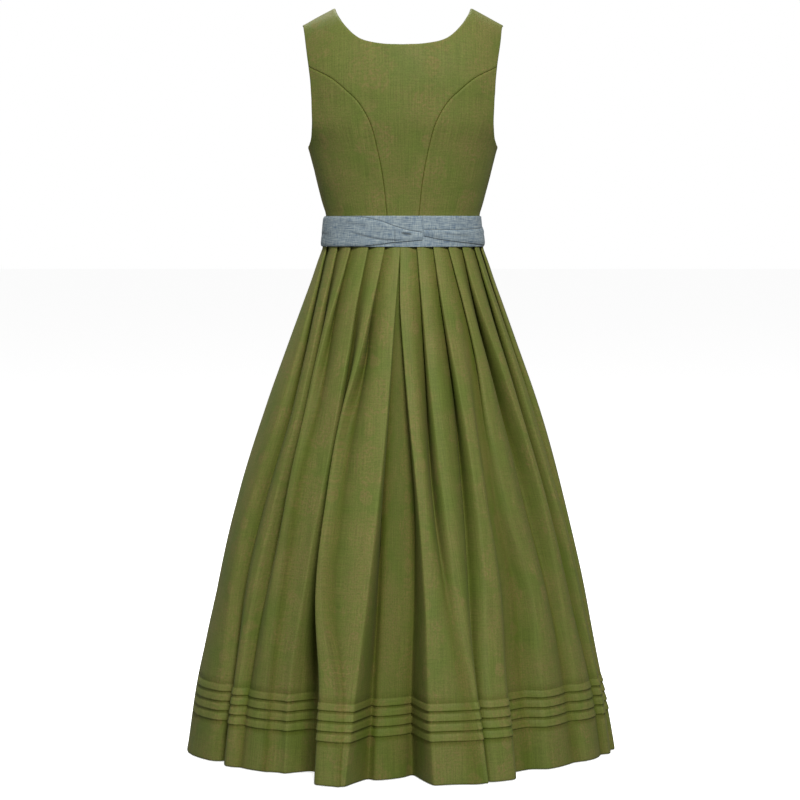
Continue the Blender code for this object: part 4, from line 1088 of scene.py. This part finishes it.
TIE_END_LENGTH = 0.42
TIE_END_WIDTH = 0.046
TIE_END_ANGLES = ((192.8, 187.0), (203.2, 211.0))
TIE_END_DRAWN = 0.30
TIE_END_OVER_APRON = 0.0245
top = middle - KNOT_HEIGHT / 2 - SEAM_GAP
columns, rows = 17, 90
for side, (start, stop) in zip(("right", "left"), TIE_END_ANGLES):
    share, height = np.meshgrid(np.linspace(-0.5, 0.5, columns),
                                np.linspace(top, top - TIE_END_LENGTH, rows), indexing="ij")
    down = (top - height) / TIE_END_LENGTH
    spine = start + (stop - start) * down
    drawn = TIE_END_DRAWN + (1 - TIE_END_DRAWN) * down ** 0.7
    angle = spine + share * degrees_for(TIE_END_WIDTH, spine, height) * drawn
    lift = TIE_LAYER + SEAM_GAP + 0.0022 * np.minimum(1, down * 12)
    lift = lift + TIE_END_OVER_APRON * (WAIST - height) / (WAIST - HEM)
    lift = lift + 0.0012 * (1 - down) * np.cos(math.tau * 1.5 * share) + 0.0012
    outer, inner = (off_form(angle, height, out).reshape(-1, 3) for out in (lift + BAND_CLOTH, lift))
    plain = np.zeros(height.size)
    tie_end = sew(f"tie_end_{side}", outer, inner, grid_faces(columns, rows),
                  np.column_stack([height.ravel(), share.ravel() * TIE_END_WIDTH]), (linen,),
                  "blue_grey_linen", hollow=plain, pressed=plain)


# The studio: a white floor that the hem just clears, which glows a little so that it meets the
# white air behind without a line, and sends no light back up. A large softbox stands above and to
# the right of the camera, a weak one to the left, and one lights the wearer's front.

FLOOR_REACH = 60.0
FLOOR_CLEAR = 0.002
CAMERA_PLACE = (-0.005, -4.8, -0.384)
CAMERA_DOWN = 3.55

floor_mesh = bpy.data.meshes.new("studio_floor")
floor_mesh.from_pydata([(FLOOR_REACH * x, FLOOR_REACH * y, HEM - FLOOR_CLEAR)
                        for x, y in ((-1, -1), (1, -1), (1, 1), (-1, 1))], [], [(0, 1, 2, 3)])
white, tree = new_material("matt_white_paint")
plug(tree, tree.nodes["Principled BSDF"], {
    "Base Color": paint("#F4F4F4"), "Roughness": 1.0, "Emission Color": (1, 1, 1, 1),
    "Emission Strength": 0.72})
floor_mesh.materials.append(white)
floor = add_object("studio_floor", floor_mesh)
floor.visible_diffuse = False
floor.visible_glossy = False

# The room is drawn full white where it is seen, and lights the cloth with a quarter of that.
world = bpy.data.worlds.new("studio_air")
world.use_nodes = True
tree = world.node_tree
seen = add_node(tree, "LightPath").outputs["Is Camera Ray"]
plug(tree, tree.nodes["Background"], {
    "Color": (1, 1, 1, 1), "Strength": spread(tree, seen, 0, 1, 0.27, 1)})
bpy.context.scene.world = world
for name, place, size, power in (("key_softbox", (1.1, -5.4, 3.9), 1.7, 510),
                                 ("left_softbox", (-2.6, -2.0, 0.8), 1.6, 14),
                                 ("front_softbox", (-0.6, 2.9, 3.3), 1.6, 190)):
    lamp = bpy.data.lights.new(name, "AREA")
    lamp.size = size
    lamp.energy = power
    stand = add_object(name, lamp)
    stand.location = place
    stand.rotation_euler = (Vector((0, 0, -0.5)) - Vector(place)).to_track_quat("-Z", "Y").to_euler()

bpy.context.scene.view_settings.view_transform = "Standard"

# The camera: level with the waist, 4.8 m behind the wearer, and turned down a little.
camera = bpy.data.cameras.new("photograph_view")
camera.sensor_width = 36.0
camera.lens = 123.4
stand = add_object("photograph_view", camera)
stand.location = CAMERA_PLACE
stand.rotation_euler = (math.radians(90 - CAMERA_DOWN), 0, 0)
bpy.context.scene.camera = stand
